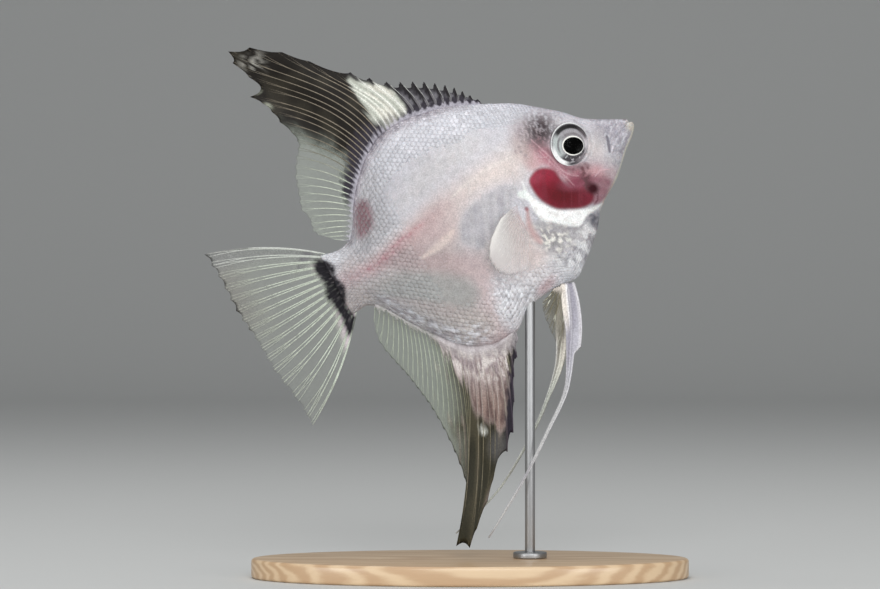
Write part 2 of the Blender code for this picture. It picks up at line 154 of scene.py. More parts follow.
# %% Fades and blots
def fade(low, high, x):
    """0 below low, 1 above high, smooth between."""
    t = np.clip((x - low) / (high - low), 0, 1)
    return t * t * (3 - 2 * t)


def fall(low, high, x):
    """1 below low, 0 above high, smooth between."""
    return 1 - fade(low, high, x)


def window(x, a, b, c, d):
    """Rises from 0 at a to 1 at b, and falls from 1 at c to 0 at d."""
    return fade(a, b, x) * fall(c, d, x)


def band(x, low, high, soft):
    """1 between two values, softened on either side of each."""
    return window(x, low - soft, low + soft, high - soft, high + soft)


def mix(a, b, share):
    return a + (b - a) * share


def blot(u, v, centre, radii, tilt=0.0, soft=0.5):
    """1 inside an ellipse, fading over soft of its radius; tilt in degrees, nose side up."""
    angle = math.radians(tilt)
    du, dv = u - centre[0], v - centre[1]
    along = du * math.cos(angle) - dv * math.sin(angle)
    across = du * math.sin(angle) + dv * math.cos(angle)
    return fall(1 - soft, 1 + soft, np.hypot(along / radii[0], across / radii[1]))


print("a fade in quarters:", fade(0, 1, np.linspace(0, 1, 5)).round(3).tolist())

# %% [markdown]
# A stroke is a line whose width may change along it, and a patch is the inside of a closed
# outline. A few points are enough for both, because a spline rounds the line between them.

# %% Strokes and patches
def line_distance(u, v, points):
    """Distance to a line through the points, and how far along it the nearest place is, 0..1."""
    nearest = np.full(np.shape(u), 1e9)
    share = np.zeros(np.shape(u))
    last = len(points) - 1
    for k in range(last):
        (u0, v0), (u1, v1) = points[k], points[k + 1]
        run = (u1 - u0) ** 2 + (v1 - v0) ** 2
        t = np.clip(((u - u0) * (u1 - u0) + (v - v0) * (v1 - v0)) / run, 0, 1)
        gap = np.hypot(u - u0 - t * (u1 - u0), v - v0 - t * (v1 - v0))
        closer = gap < nearest
        nearest = np.where(closer, gap, nearest)
        share = np.where(closer, (k + t) / last, share)
    return nearest, share


def spline(a, b, c, d, t):
    """Between b and c, on the smooth (Catmull-Rom) line through four points."""
    return 0.5 * (2 * b + (c - a) * t + (2 * a - 5 * b + 4 * c - d) * t**2 + (3 * b - a - 3 * c + d) * t**3)


def rounded(points, count=24):
    """A smooth line of count + 1 points through the given ones."""
    p = np.array([points[0], *points, points[-1]], float)
    along = np.linspace(0, len(points) - 1, count + 1)
    k = np.minimum(along.astype(int), len(points) - 2)
    t = (along - k)[:, None]
    return spline(p[k], p[k + 1], p[k + 2], p[k + 3], t)


def near(u, v, points, reach):
    """True at the places inside the box round some points, widened by reach."""
    low, high = np.min(points, 0) - reach, np.max(points, 0) + reach
    return (u > low[0]) & (u < high[0]) & (v > low[1]) & (v < high[1])


def stroke(u, v, points, widths, soft=0.5):
    """1 on a line whose half width changes along it, fading over soft of that width."""
    mask = np.zeros(np.shape(u))
    close = near(u, v, points, 2 * max(widths) + 1)
    gap, share = line_distance(u[close], v[close], rounded(points))
    half = np.interp(share, np.linspace(0, 1, len(widths)), widths)
    mask[close] = fall(1 - soft, 1 + soft, gap / half)
    return mask


def rounded_ring(outline, per_knot=5):
    """The same smooth line through a closed outline."""
    p = np.array(outline, float)
    quads = [p[np.arange(k - 1, k + 3) % len(p)] for k in range(len(p))]
    return np.array([spline(*quad, t) for quad in quads for t in np.arange(per_knot) / per_knot])


def patch(u, v, outline, soft=0.3):
    """1 inside a closed smooth outline, fading over soft mm on each side of its edge."""
    edge = rounded_ring(outline)
    mask = np.zeros(np.shape(u))
    close = near(u, v, edge, soft)
    pu, pv = u[close], v[close]
    inside = np.zeros(np.shape(pu), bool)
    for (u0, v0), (u1, v1) in zip(edge, np.roll(edge, -1, 0)):
        crosses = (v0 > pv) != (v1 > pv)
        inside ^= crosses & (pu < u0 + (pv - v0) * (u1 - u0) / np.where(v1 == v0, 1, v1 - v0))
    gap, _ = line_distance(pu, pv, [*edge, edge[0]])
    mask[close] = fade(-soft, soft, np.where(inside, gap, -gap))
    return mask


print("points in a ring of four:", len(rounded_ring([(0, 0), (1, 0), (1, 1), (0, 1)])))

# %% [markdown]
# A noise breaks up what would look printed. Each corner of a lattice gets a number that only
# looks random, and the places between are blended.

# %% Noise
NOISE_STEPS, NOISE_STRETCH = (12.9898, 78.233, 37.719), 43758.5453


def noise(*places, seed=0):
    """Smooth noise from 0 to 1 over two or three coordinates, one cell for each unit."""
    cells = [np.floor(p) for p in places]
    parts = [fade(0, 1, p - c) for p, c in zip(places, cells)]
    total = 0.0
    for corner in range(2 ** len(places)):
        weight, key = 1.0, float(seed)
        for axis, (cell, part) in enumerate(zip(cells, parts)):
            bit = (corner >> axis) & 1
            weight = weight * (part if bit else 1 - part)
            key = key + (cell + bit) * NOISE_STEPS[axis]
        total = total + weight * ((np.sin(key) * NOISE_STRETCH) % 1.0)
    return total


print("noise sample:", round(float(noise(np.array(0.5), np.array(3.2))), 3))

# %% [markdown]
# The markings. The live fish is lilac-silver and a little see-through, so what lies under the
# skin tints it: peach flesh along the spine, grey ribs, a greenish shadow low down, a pale wedge
# where bones of the anal fin shine through. Paint holds the colour at many places at once and
# lays one mark after another over it, each by its own soft shape, from the largest areas down to
# the smallest. A fourth number, the silver, says how much the spot shines like foil.

# %% Paint
SHEEN, MATT, FOIL = 0.3, 0.1, 0.65  # how silvery a mark is


def over(colour, paint, mask):
    return mix(colour, np.array(paint), np.clip(mask, 0, 1)[..., None])


def painter(colour, lays):
    """Lays one colour of four numbers after another over a base, each by its own mask."""
    for paint, mask in lays:
        colour = over(np.array(colour), paint, mask)
    return colour


class Paint:
    """Colours being painted at the places u, v of the side view."""

    def __init__(self, u, v, base, under=0.5):
        self.u, self.v, self.under = u, v, under
        self.colour = np.full((*np.shape(u), 4), [*base, SHEEN])
        self.grain = noise(u / 0.9, v / 0.8, seed=5)
        self.fine = noise(u / 0.5, v / 0.5, seed=2)
        self.dust = noise(u / 0.24, v / 0.24, seed=4)
        self.streaks = noise((u + 0.5 * v) / 0.5, (v - 0.5 * u) / 5, seed=3)

    def lay(self, paint, mask, silver=SHEEN):
        self.colour = over(self.colour, [*paint, silver], mask)

    def blot(self, centre, radii, tilt=0.0, soft=0.5):
        return blot(self.u, self.v, centre, radii, tilt, soft)

    def patch(self, outline, soft=0.3):
        return patch(self.u, self.v, outline, soft)

    def stroke(self, points, widths, soft=0.5):
        return stroke(self.u, self.v, points, widths, soft)

    def spot(self, paint, centre, radii, tilt, soft, share, silver=SHEEN):
        self.lay(paint, self.blot(centre, radii, tilt, soft) * share, silver)

    def line(self, paint, points, widths, soft, share, silver=SHEEN):
        self.lay(paint, self.stroke(points, widths, soft) * share, silver)

    def along(self, points, values):
        """A value that changes along a line, at the nearest place on it."""
        _, share = line_distance(self.u, self.v, points)
        return np.interp(share, np.linspace(0, 1, len(values)), values)


print("silver of foil, sheen and matt skin:", FOIL, SHEEN, MATT)

# %% [markdown]
# The flank, in zones. It is brightest under the nape and darkens towards the belly and the tail.
# A peach band runs from the gill cover along the spine and turns pink; a pink bow under it frames
# the greenish shadow of the gut's rear end.

# %% Flank
LILAC = (0.585, 0.572, 0.61)
UPPER_GREY = [(43.5, 6.6), (36.9, 11.6), (30.5, 12.4), (25, 10.4), (30.6, 7.8), (36.2, 7.2)]
PEACH_BAND = [
    (18.6, 6), (22.9, 7.1), (31.7, 5.9), (37.6, 4.8), (43.2, 3.1), (48.8, 1.6), (54.2, 0.6), (53.4, -1.8),
    (47.3, -1.6), (42.8, -1.8), (37.6, -3.2), (33.4, 0.6), (27.5, 2), (24.1, 1), (21.7, 1),
]
PINK_BOW = [(50, -0.8), (45.4, -3.2), (40.9, -6.4), (37.4, -8.8), (36.4, -12.5), (37.4, -16.6), (39.2, -21)]
SHADOW_OVAL = [(54, -4.8), (49.2, -4.6), (43.6, -6.6), (39.2, -10.4), (38.5, -13.4), (41.3, -14.6),
               (46.6, -12.2), (51.6, -9)]


def paint_flank(paint):
    lay, spot, patch = paint.lay, paint.spot, paint.patch
    u, v = paint.u, paint.v
    from_belly = v - smooth(BELLY, u)
    spot((0.72, 0.7, 0.745), (33.5, 16.3), (8.5, 3.2), -4, 0.7, 0.85)
    lay((0.585, 0.565, 0.575), patch(UPPER_GREY, 2.6) * 0.9)
    lay((0.425, 0.405, 0.415), fade(41, 51, u) * fade(0, 5, v) * 0.9)
    lay((0.41, 0.375, 0.365), fade(0, -4, v) * fade(34, 41, u))
    lay((0.55, 0.51, 0.5), fade(0, -6, v) * window(u, 26, 30, 33, 38) * 0.6)
    lay((0.66, 0.575, 0.55), patch(PEACH_BAND, 2.4) * 0.85)
    lay((0.52, 0.41, 0.41), patch(PEACH_BAND, 2.0) * fade(31, 41, u) * 0.95)
    spot((0.455, 0.355, 0.355), (45.8, -0.8), (4.4, 1.8), 6, 0.7, 0.8)
    spot((0.5, 0.36, 0.36), (42.5, 1.4), (6, 1.2), 14, 0.9, 0.5)
    bow = paint.along(rounded(PINK_BOW), (0, 0.2, 0.45, 0.75, 1, 1, 1))
    pink = np.array((0.38, 0.295, 0.295)) + bow[..., None] * np.array((0.2, 0.175, 0.18))
    share = paint.stroke(PINK_BOW, (1.2, 2.2, 2.6, 2.8, 2.4, 2.6, 3.2), 0.8)[..., None] * 0.9
    paint.colour[..., :3] = mix(paint.colour[..., :3], pink, share)
    lay((0.355, 0.352, 0.345), patch(SHADOW_OVAL, 1.5) * 0.9, MATT)
    paint.line((0.42, 0.36, 0.355), [(54, -6.6), (49, -10), (44, -14.6), (40, -18.6)], (0.5, 0.8, 1.2, 1.8),
               0.8, 0.6)
    lay((0.31, 0.295, 0.29), band(from_belly, 1.4, 4.0, 2.6 / 3) * window(u, 45, 49, 55, 57) * 0.8)
    lay((0.44, 0.42, 0.42), fall(0.5, 2.2, from_belly) * window(u, 43, 48, 56, 58) * 0.8)
    along_back = window(u, 26, 32, 50, 55)
    # A pale band just under the back's edge: partly its own pinkish lilac, partly painted light that lifts
    # the shade where the body turns away.
    lay((0.8, 0.73, 0.78), fall(0.2, 2.6, smooth(BACK, u) - v) * along_back * 0.75)
    streaks = fall(0.2, 1.9, smooth(BACK, u) - v) * fade(0.42, 0.62, noise(u / 0.45, v / 0.9, seed=6))
    lay((0.2, 0.19, 0.22), streaks * along_back * 0.75)
    spot((0.5, 0.45, 0.43), (42.4, -18.6), (3.4, 2.6), -20, 0.7, 0.8)
    spot((0.6, 0.565, 0.58), (58.2, 2.8), (3.6, 2.8), 0, 0.6, 0.85)
    spot((0.84, 0.83, 0.87), (58.6, 4.6), (2.4, 1.3), -8, 0.8, 0.9)
    spot((0.56, 0.47, 0.46), (56.8, 0.8), (2.6, 1.6), 20, 0.7, 0.8)
    spot((0.46, 0.405, 0.395), (58.4, -3.4), (3.6, 2.4), 30, 0.6, 0.85)
    silvered = band(from_belly, 0.2, 4.5, 4.3 / 3) * window(u, 38, 42, 53, 56)
    lay((0.74, 0.74, 0.8), silvered * fade(0.52, 0.7, paint.fine) * 0.7)
    lay((0.24, 0.22, 0.25), silvered * fall(0.28, 0.44, paint.fine) * 0.6)
    front_of_anal = window(u, 34, 37, 41, 44)
    lay((0.37, 0.29, 0.29), fall(0.6, 2.6, from_belly) * front_of_anal * (0.35 + 0.4 * paint.grain))


trial = Paint(np.array([30.0, 45.0]), np.array([14.0, -8.0]), LILAC)
paint_flank(trial)
print("flank, high and low:", np.round(trial.colour[:, :3], 2).tolist())

# %% [markdown]
# What shines through: ribs in grey stripes, the white wedge of fin bones, the lines between the
# muscles, and a pink vein that follows the spine out to the tail.

# %% Seen through the skin
RIBS = [(24.1, -0.3), (25.8, 1.4), (30.2, 0.9), (34.4, 0.1), (36.2, -1.9), (36.6, -4.4), (34.9, -6.6),
        (31.7, -5.7), (29, -4.4), (26.1, -2.6)]
BELLY_FOIL = [(34.4, -11.9), (36.3, -14.6), (36.9, -18.2), (36.2, -22.2), (31.5, -19.6), (27.3, -18.8),
              (24.2, -17.3), (25.6, -13.6), (30.4, -12.4)]
SPINE_LINE = [(41.5, 2.2), (46.4, 1.1), (50.6, -0.2), (54, -0.6), (58.5, -0.4)]
SPINE_TOP = [(22.2, 5.2), (27.2, 5.2), (31.6, 4.6), (35, 3.6)]
UPPER_LINE = [(21.3, 6.1), (26.8, 9), (29.6, 10.1), (35, 12.2), (41, 12.9), (46, 11)]
FIN_BONES = [(37.2, -1.5), (39, -2.3), (41.6, -3), (44.6, -3.2)]


def paint_inside(paint):
    lay, line = paint.lay, paint.line
    ribs = paint.patch(RIBS, 0.7)
    lay((0.475, 0.46, 0.485), ribs * 0.9)
    lay((0.4, 0.385, 0.42), ribs * fade(0.5, 0.8, paint.streaks) * 0.55, MATT)
    lay((0.56, 0.54, 0.56), ribs * fall(0.2, 0.5, paint.streaks) * 0.5)
    paint.spot((0.7, 0.62, 0.585), (26.6, 4), (4, 1.5), 0, 0.8, 0.6)
    line((0.75, 0.69, 0.655), SPINE_TOP, (0.16, 0.25, 0.16), 0.9, 0.6)
    line((0.66, 0.56, 0.52), FIN_BONES, (0.25, 0.7, 0.6, 0.2), 0.9, 0.75, MATT)
    line((0.64, 0.62, 0.64), UPPER_LINE, (0.16, 0.22, 0.16), 0.9, 0.5)
    vein = (0.3, 0.55, 0.7, 0.6, 0.5)
    line((0.5, 0.29, 0.305), SPINE_LINE, (0.5, 1, 1.1, 1.2, 1.3), 0.95,
         paint.along(SPINE_LINE, vein) * (0.7 + 0.5 * paint.fine), MATT)
    line((0.4, 0.16, 0.19), SPINE_LINE[:4], (0.2, 0.4, 0.4, 0.3), 0.8,
         fade(0.3, 0.75, paint.fine) * 0.65, MATT)
    foil = paint.patch(BELLY_FOIL, 1.5)
    lay((0.64, 0.615, 0.645), foil * 0.9, FOIL)
    lay((0.43, 0.42, 0.45), foil * fade(0.5, 0.75, paint.grain) * 0.6, FOIL)
    lay((0.88, 0.88, 0.92), foil * fade(0.58, 0.75, paint.fine) * 0.75, FOIL)


# %% [markdown]
# Pigment. Dark specks sit at the scales' roots on the upper, rear and lower flank, the root of
# the dorsal fin is mottled purple-black, and a rusty patch lies on the rear of the back.

# %% Specks
BACK_RUST = [(49.8, 11), (48.4, 10.5), (48.3, 8.4), (49.5, 5.9), (51.4, 5), (52.7, 5.2), (52.3, 7.5),
             (51, 9.8)]
TAIL_SPOTS = [(61.3, 5.4), (59, 3.2), (59.6, 1), (59, -1.2), (60.3, -4.4), (60, -7.2), (63, -9.4), (63, 3)]


def paint_specks(paint):
    lay, u, v, under = paint.lay, paint.u, paint.v, paint.under
    from_back, from_belly = smooth(BACK, u) - v, v - smooth(BELLY, u)
    speck = under * (0.3 + 0.7 * paint.grain)
    lay((0.34, 0.33, 0.36), fade(5, 12, v + 0.25 * (u - 30)) * fade(27, 36, u) * speck * 0.42, MATT)
    lay((0.22, 0.21, 0.23), fade(43, 52, u) * speck * 0.5, MATT)
    lay((0.23, 0.21, 0.22), fall(1, 7, from_belly) * fade(38, 46, u) * speck * 0.55, MATT)
    rim = fall(0.2, 2.2, from_back + 1.4 * (paint.fine - 0.5)) * window(u, 22, 26, 53.5, 56)
    lay((0.15, 0.12, 0.155), rim * (0.3 + 0.7 * under) * (0.35 + 0.65 * paint.fine) * 0.85, MATT)
    lay((0.19, 0.1, 0.115), paint.patch(BACK_RUST, 0.8) * (0.35 + 0.6 * under), MATT)
    lay((0.012, 0.01, 0.014), paint.patch(TAIL_SPOTS, 0.4) * (0.75 + 0.6 * paint.fine), MATT)


# %% [markdown]
# The breast is silver, blotched with cream and dark gaps, and the pectoral fin grows from a pink
# bar behind the gill cover.

# %% Breast
PECTORAL_BAR = [(24, -4.4), (24.7, -6.2), (25.1, -7.8), (24.9, -9.5), (24.6, -10.6)]


def paint_breast(paint):
    lay, spot, line = paint.lay, paint.spot, paint.line
    chest = paint.blot((19.4, -13.4), (7.4, 4.6), tilt=-40)
    mottle = paint.blot((22.2, -11), (3.8, 3), tilt=-40, soft=0.6)
    flakes = noise(paint.u / 0.45, paint.v / 0.45, seed=8)
    lay((0.57, 0.55, 0.575), chest * 0.9, FOIL)
    lay((0.29, 0.275, 0.3), chest * fade(0.45, 0.72, paint.fine) * 0.85, MATT)
    lay((0.9, 0.89, 0.9), chest * fade(0.5, 0.66, paint.grain) * 0.85, FOIL)
    lay((0.3, 0.285, 0.285), mottle * fade(0.25, 0.55, paint.grain) * 0.85, MATT)
    lay((0.82, 0.8, 0.75), mottle * fade(0.5, 0.64, flakes) * 0.9, SHEEN)
    spot((0.54, 0.36, 0.385), (27.2, -17.9), (2, 0.9), 20, 0.8, 0.8, MATT)
    # Painted shade under the gill cover's lower edge: a dark line along it and a dark blot at the throat's
    # edge.
    line((0.33, 0.32, 0.335), [(23.4, -7.4), (21.6, -9.2), (19.4, -11), (17, -12)],
         (0.4, 0.6, 0.6, 0.4), 0.9, 0.35 + 0.6 * paint.fine, MATT)
    spot((0.13, 0.13, 0.155), (14, -11.5), (2, 1.3), -45, 0.7, 0.5 + 0.6 * paint.fine)
    spot((0.72, 0.66, 0.67), (28.6, -13.2), (4.2, 3), -35, 0.8, 0.75)
    line((0.7, 0.6, 0.58), [(27.4, -5.4), (27.8, -9), (27, -12.6)], (1.4, 2.4, 1.8), 0.8, 0.8)
    line((0.5, 0.335, 0.33), PECTORAL_BAR, (0.2, 0.5, 0.7, 0.4), 0.9, 0.85, MATT)
    spot((0.3, 0.09, 0.11), (24.1, -4.3), (0.35, 0.4), 0, 0.6, 0.75, MATT)


# %% [markdown]
# The head. Forehead and snout are grey-lilac with a fine silver grain. A sooty smudge lies behind
# the eye, the cheek is pink with pale threads, and the lips and the throat have a yellowish rim.

# %% Head
CHEEK = [
    (19.2, 5.2), (17.6, 5.9), (16.4, 4.9), (15.5, 3.4), (15.4, 0.5), (14.4, -0.9), (12.8, -1.9), (10.8, -2.6),
    (9, -3.8), (9.4, -5.6), (12.6, -5), (14.9, -4.6), (16.4, -1.2), (17.6, 0.8), (20, 1.2), (20.4, 3.2),
]
CHEEK_RIDGES = [
    [(17.6, 6.2), (16.9, 4.2), (16.1, 1.8), (15.4, -0.9), (14.4, -2.6), (13.2, -3.4)],
    [(17.3, 3.8), (16.7, 1.8), (15.9, -0.7), (15.2, -2.8), (14.7, -4.6)],
    [(10.7, -4.9), (9.3, -4.5), (7.8, -4.9)],
]
UNDER_EYE_SHADOW = [(15.9, 3.2), (15.5, 1.2), (14.7, -0.6), (13.4, -1.7), (12.2, -2.3), (11.4, -2.5)]
UPPER_JAW_FOLD = [(5.3, 0.5), (5.75, -0.95), (6.2, -2.3)]


def paint_snout(paint):
    lay, spot = paint.lay, paint.spot
    u, v = paint.u, paint.v
    from_belly = v - smooth(BELLY, u)
    on_head = fall(13, 17, u + 0.25 * np.abs(v))
    upper = fade(-1, 3, v - 0.9 * (u - 4)) * fall(18, 25, u)
    snout = fall(5.5, 10, u + 0.5 * np.abs(v - 1))
    lay((0.55, 0.53, 0.55), on_head * 0.9)
    lay((0.62, 0.605, 0.675), upper * 0.75, 0.4)
    spot((0.5, 0.415, 0.425), (18.3, 7.4), (2.2, 2.4), -20, 0.8, 0.7)
    lay((0.43, 0.41, 0.455), snout * 0.8, 0.35)
    grainy = np.maximum(upper, on_head)
    lay((0.3, 0.29, 0.34), grainy * fade(0.5, 0.8, paint.dust) * 0.45, 0.35)
    lay((0.33, 0.31, 0.35), snout * fade(0.45, 0.75, paint.fine) * 0.7, 0.35)
    lay((0.74, 0.73, 0.78), snout * fade(0.55, 0.8, noise((u + v) / 0.4, (v - u) / 0.8, seed=9)) * 0.5, 0.4)
    spot((0.4, 0.375, 0.4), (6.4, 1.6), (1, 1.3), -30, 0.8, 0.75, MATT)
    spot((0.58, 0.535, 0.535), (8.3, -0.6), (1.7, 2.2), -25, 0.7, 0.85)
    spot((0.44, 0.37, 0.39), (9.6, -2.6), (2.2, 1.1), -15, 0.8, 0.75)
    spot((0.48, 0.335, 0.36), (8.8, -5.4), (2.2, 1.6), -28, 0.8, 0.8)
    # Lips, the rim of the throat, and painted shade in the fold behind the upper jaw
    spot((0.6, 0.56, 0.48), (0.3, 0), (1.1, 1.3), 0, 0.6, 0.8)
    spot((0.16, 0.13, 0.13), (1, 1.7), (0.4, 0.3), 0, 0.8, 0.7, MATT)
    lay((0.78, 0.75, 0.62), fall(0.1, 0.8, from_belly) * fall(11, 13, u) * 0.85)
    paint.line((0.13, 0.12, 0.15), UPPER_JAW_FOLD, (0.14, 0.3, 0.16), 0.9, 0.85, MATT)


def paint_cheek(paint):
    u, v = paint.u, paint.v
    cheek = paint.patch(CHEEK, 1.0)
    threads = np.abs(noise((u + 0.4 * v) / 0.55, (v - 0.4 * u) / 1.3, seed=10) - 0.5)
    paint.lay((0.5, 0.285, 0.305), cheek * 0.9, MATT)
    paint.line((0.36, 0.135, 0.175), [(16.8, 3.2), (15.9, 0.6), (14.9, -1.6), (13.2, -3.2)],
               (1, 1.2, 1.2, 1), 0.9, 0.85, MATT)
    paint.lay((0.6, 0.44, 0.46), cheek * fall(0.02, 0.09, threads) * 0.45)
    paint.spot((0.5, 0.4, 0.38), (19.8, 4.8), (1.3, 2.8), 0, 0.8, 0.7)
    for spot in ((19, 7.7), (19.3, 6.7), (20.1, 6.1), (20.2, 5.1), (18.6, 8.6), (19.8, 4.2), (21, 5.6)):
        paint.spot((0.26, 0.22, 0.24), spot, (0.28, 0.24), 0, 0.8, 0.75, MATT)
    # Painted shadow: a dark band along the eye's lower rim, where its socket lies in shade.
    paint.line((0.17, 0.085, 0.1), UNDER_EYE_SHADOW, (0.3, 0.6, 0.7, 0.8, 0.9, 0.6), 1.0, 0.45 + 0.6 * paint.fine,
               MATT)


def paint_smudge(paint):
    """The sooty smudge behind the eye, in fine upright streaks."""
    upright = noise((paint.u + 0.5 * paint.v) / 0.25, (paint.v - 0.5 * paint.u) / 0.8, seed=6)
    soot = upright * 0.5 + paint.dust * 0.5
    paint.spot((0.26, 0.12, 0.14), (16.2, 5.2), (1.6, 1.5), 0, 0.9, 0.85, MATT)
    paint.spot((0.2, 0.165, 0.175), (15.8, 7.6), (3.4, 2.9), 15, 1.0, 0.8 * fade(0.2, 0.6, soot), MATT)
    paint.spot((0.055, 0.04, 0.045), (15.3, 6.9), (2.2, 2.2), 15, 0.9, 0.5 + 0.6 * fade(0.3, 0.6, soot), MATT)


# %% [markdown]
# The gills show blood red through their cover: mauve towards the mouth, crimson behind, deepest
# low down. The cover's own edge is a brilliant white crescent with a ragged lower border.

# %% Gill cover
GILL_PATCH = [
    (21.4, -0.5), (20.3, 0.6), (18.9, 0.9), (17.5, 0.4), (16.5, -0.7), (16.2, -2.6), (15.6, -4.2),
    (13.9, -5), (12.4, -5.6), (12.4, -7.9), (13.8, -8.9), (15.8, -8.6), (17.7, -7.7), (19.6, -6.5),
    (21.2, -3.6),
]
MAUVE = [(14.6, -4), (12.4, -4.4), (10.9, -4.5), (9.2, -5.6), (8.2, -6.9), (9.3, -8.4), (11, -9.4),
         (13, -9.4), (14, -7)]
GILL_EDGE = [
    (22.5, 0.4), (22.5, -1.4), (22, -3.4), (20.8, -5.4), (18.9, -7.4), (15.6, -8.9), (13.6, -9.5),
    (11.5, -9.7), (13.4, -10.2), (15.2, -10.4), (16.9, -11.3), (18.4, -10.8), (19.8, -9.6), (21.1, -8.5),
    (22.6, -7.2), (23.1, -4.8), (23.2, -3), (24.3, -1.8), (23.9, -1), (22.9, -1),
]


def paint_gill(paint):
    lay, line, patch, blot = paint.lay, paint.line, paint.patch, paint.blot
    lay((0.29, 0.135, 0.165), patch(MAUVE, 0.8) * (0.85 + 0.15 * paint.fine), MATT)
    gill = patch(GILL_PATCH, 0.45)
    lay((0.19, 0.022, 0.042), gill, 0.0)
    lay((0.3, 0.012, 0.036), gill * blot((19.6, -1.8), (2.8, 3.6), tilt=15, soft=0.9), 0.0)
    lay((0.34, 0.05, 0.085), gill * blot((20.2, -0.4), (1.4, 0.8), tilt=10, soft=0.9) * 0.7, 0.0)
    lay((0.1, 0, 0.004), gill * blot((17.4, -5.2), (4.2, 2.3), tilt=-38, soft=0.9) * 0.95, 0.0)
    lay((0.2, 0.03, 0.05), gill * fade(0.5, 0.9, paint.streaks) * 0.3, 0.0)
    paint.spot((0.23, 0.055, 0.085), (14, -4.3), (2.6, 1.15), -16, 0.7, 1, MATT)
    line((0.12, 0.045, 0.055), [(11.5, -2.8), (12.3, -4.6), (12.5, -6)], (0.7, 0.9, 0.8), 1.0,
         0.3 + 0.7 * fade(0.2, 0.6, paint.fine), MATT)
    paint.spot((0.035, 0, 0.004), (11.9, -6.6), (0.95, 1.05), 20, 0.6, fade(0.1, 0.5, paint.fine + 0.3),
               0.0)
    line((0.1, 0.025, 0.04), [(11.6, -7.8), (12.1, -8.7), (12.9, -9.2)], (0.16, 0.2, 0.12), 0.8,
         fade(0.3, 0.6, paint.dust) * 0.7, 0.0)
    for ridge, share in zip(CHEEK_RIDGES, (0.5, 0.35, 0.75)):
        line((0.64, 0.42, 0.46), ridge, (0.06, 0.13, 0.17, 0.13, 0.06), 0.9, share)
    edge = patch(GILL_EDGE, 0.3)
    torn = fade(0.2, 0.6, paint.fine + 0.8 * patch(GILL_EDGE, 1.0))
    lay((0.94, 0.95, 0.94), edge * torn, 0.25)
    lay((0.58, 0.64, 0.6), edge * blot((23.9, -1.3), (1.2, 1.3), soft=0.7) * 0.6, 0.3)
    lay((0.66, 0.61, 0.59), edge * fade(0.55, 0.8, noise(paint.u / 0.9, paint.v / 0.35, seed=15)) * 0.4, 0.3)

# %% [markdown]
# One function lays all these marks in turn, and skin and scales both ask it.

# %% All marks together
def markings(places, under=0.5):
    """Colour and silver at each place; under is 1 at a scale's root and 0 at its free edge."""
    paint = Paint(places[..., 0], places[..., 2], LILAC, under)
    for marks in (paint_flank, paint_inside, paint_specks, paint_breast, paint_snout, paint_cheek,
                  paint_smudge, paint_gill):
        marks(paint)
    return paint.colour


sample = markings(np.array([[18.0, 5.0, -5.0]]))
print("deepest gill colour:", np.round(sample[0, :3], 3))

# %% [markdown]
# The relief is what a finger would feel: the gape of the mouth, lips, the nostril, ridges on the
# cheek, and the gill cover, a thin plate that ends in a step behind. Each is a height in
# millimetres over the bare body. The skin lies a hair below it, to leave the scales their room.

# %% Relief of the head
COAT_DEPTH = 0.06
GILL_COVER = [
    (16.4, 5.4), (18.7, 7.2), (21.2, 6.4), (23, 3.4), (24.1, -0.4), (24.1, -3.4), (23.3, -6),
    (21.6, -8), (19.6, -9.7), (17, -10.7), (13.7, -10.4), (11.8, -9.7),
]
MOUTH_LINE = [(-0.5, 1.3), (0.45, 0.98), (1.6, 0.45), (3.3, -0.35), (5.2, -1.3), (6.1, -2.2)]
NOSTRIL = (5.9, 2.5)


def gill_plate(u, v):
    """1 on the gill cover, falling to 0 in a short step just behind its rear edge."""
    edge, centre = rounded(GILL_COVER, 60), (17.2, -1)
    gap, _ = line_distance(u, v, edge)
    reach = edge - centre
    bearing = np.arctan2(v - centre[1], u - centre[0])
    edge_bearing = np.unwrap(np.arctan2(reach[:, 1], reach[:, 0]))
    order = np.argsort(edge_bearing)
    low, high = edge_bearing[order][0], edge_bearing[order][-1]
    wrapped = np.where(bearing > high, bearing - 2 * math.pi, bearing)
    limit = np.interp(wrapped, edge_bearing[order], np.hypot(*reach.T)[order])
    inside = np.hypot(u - centre[0], v - centre[1]) < limit
    behind = (wrapped > low - 0.2) & (wrapped < high + 0.2)
    signed = np.where(inside, gap, -gap)
    return np.where(behind, fade(-0.16, 0.05, signed), 1.0)


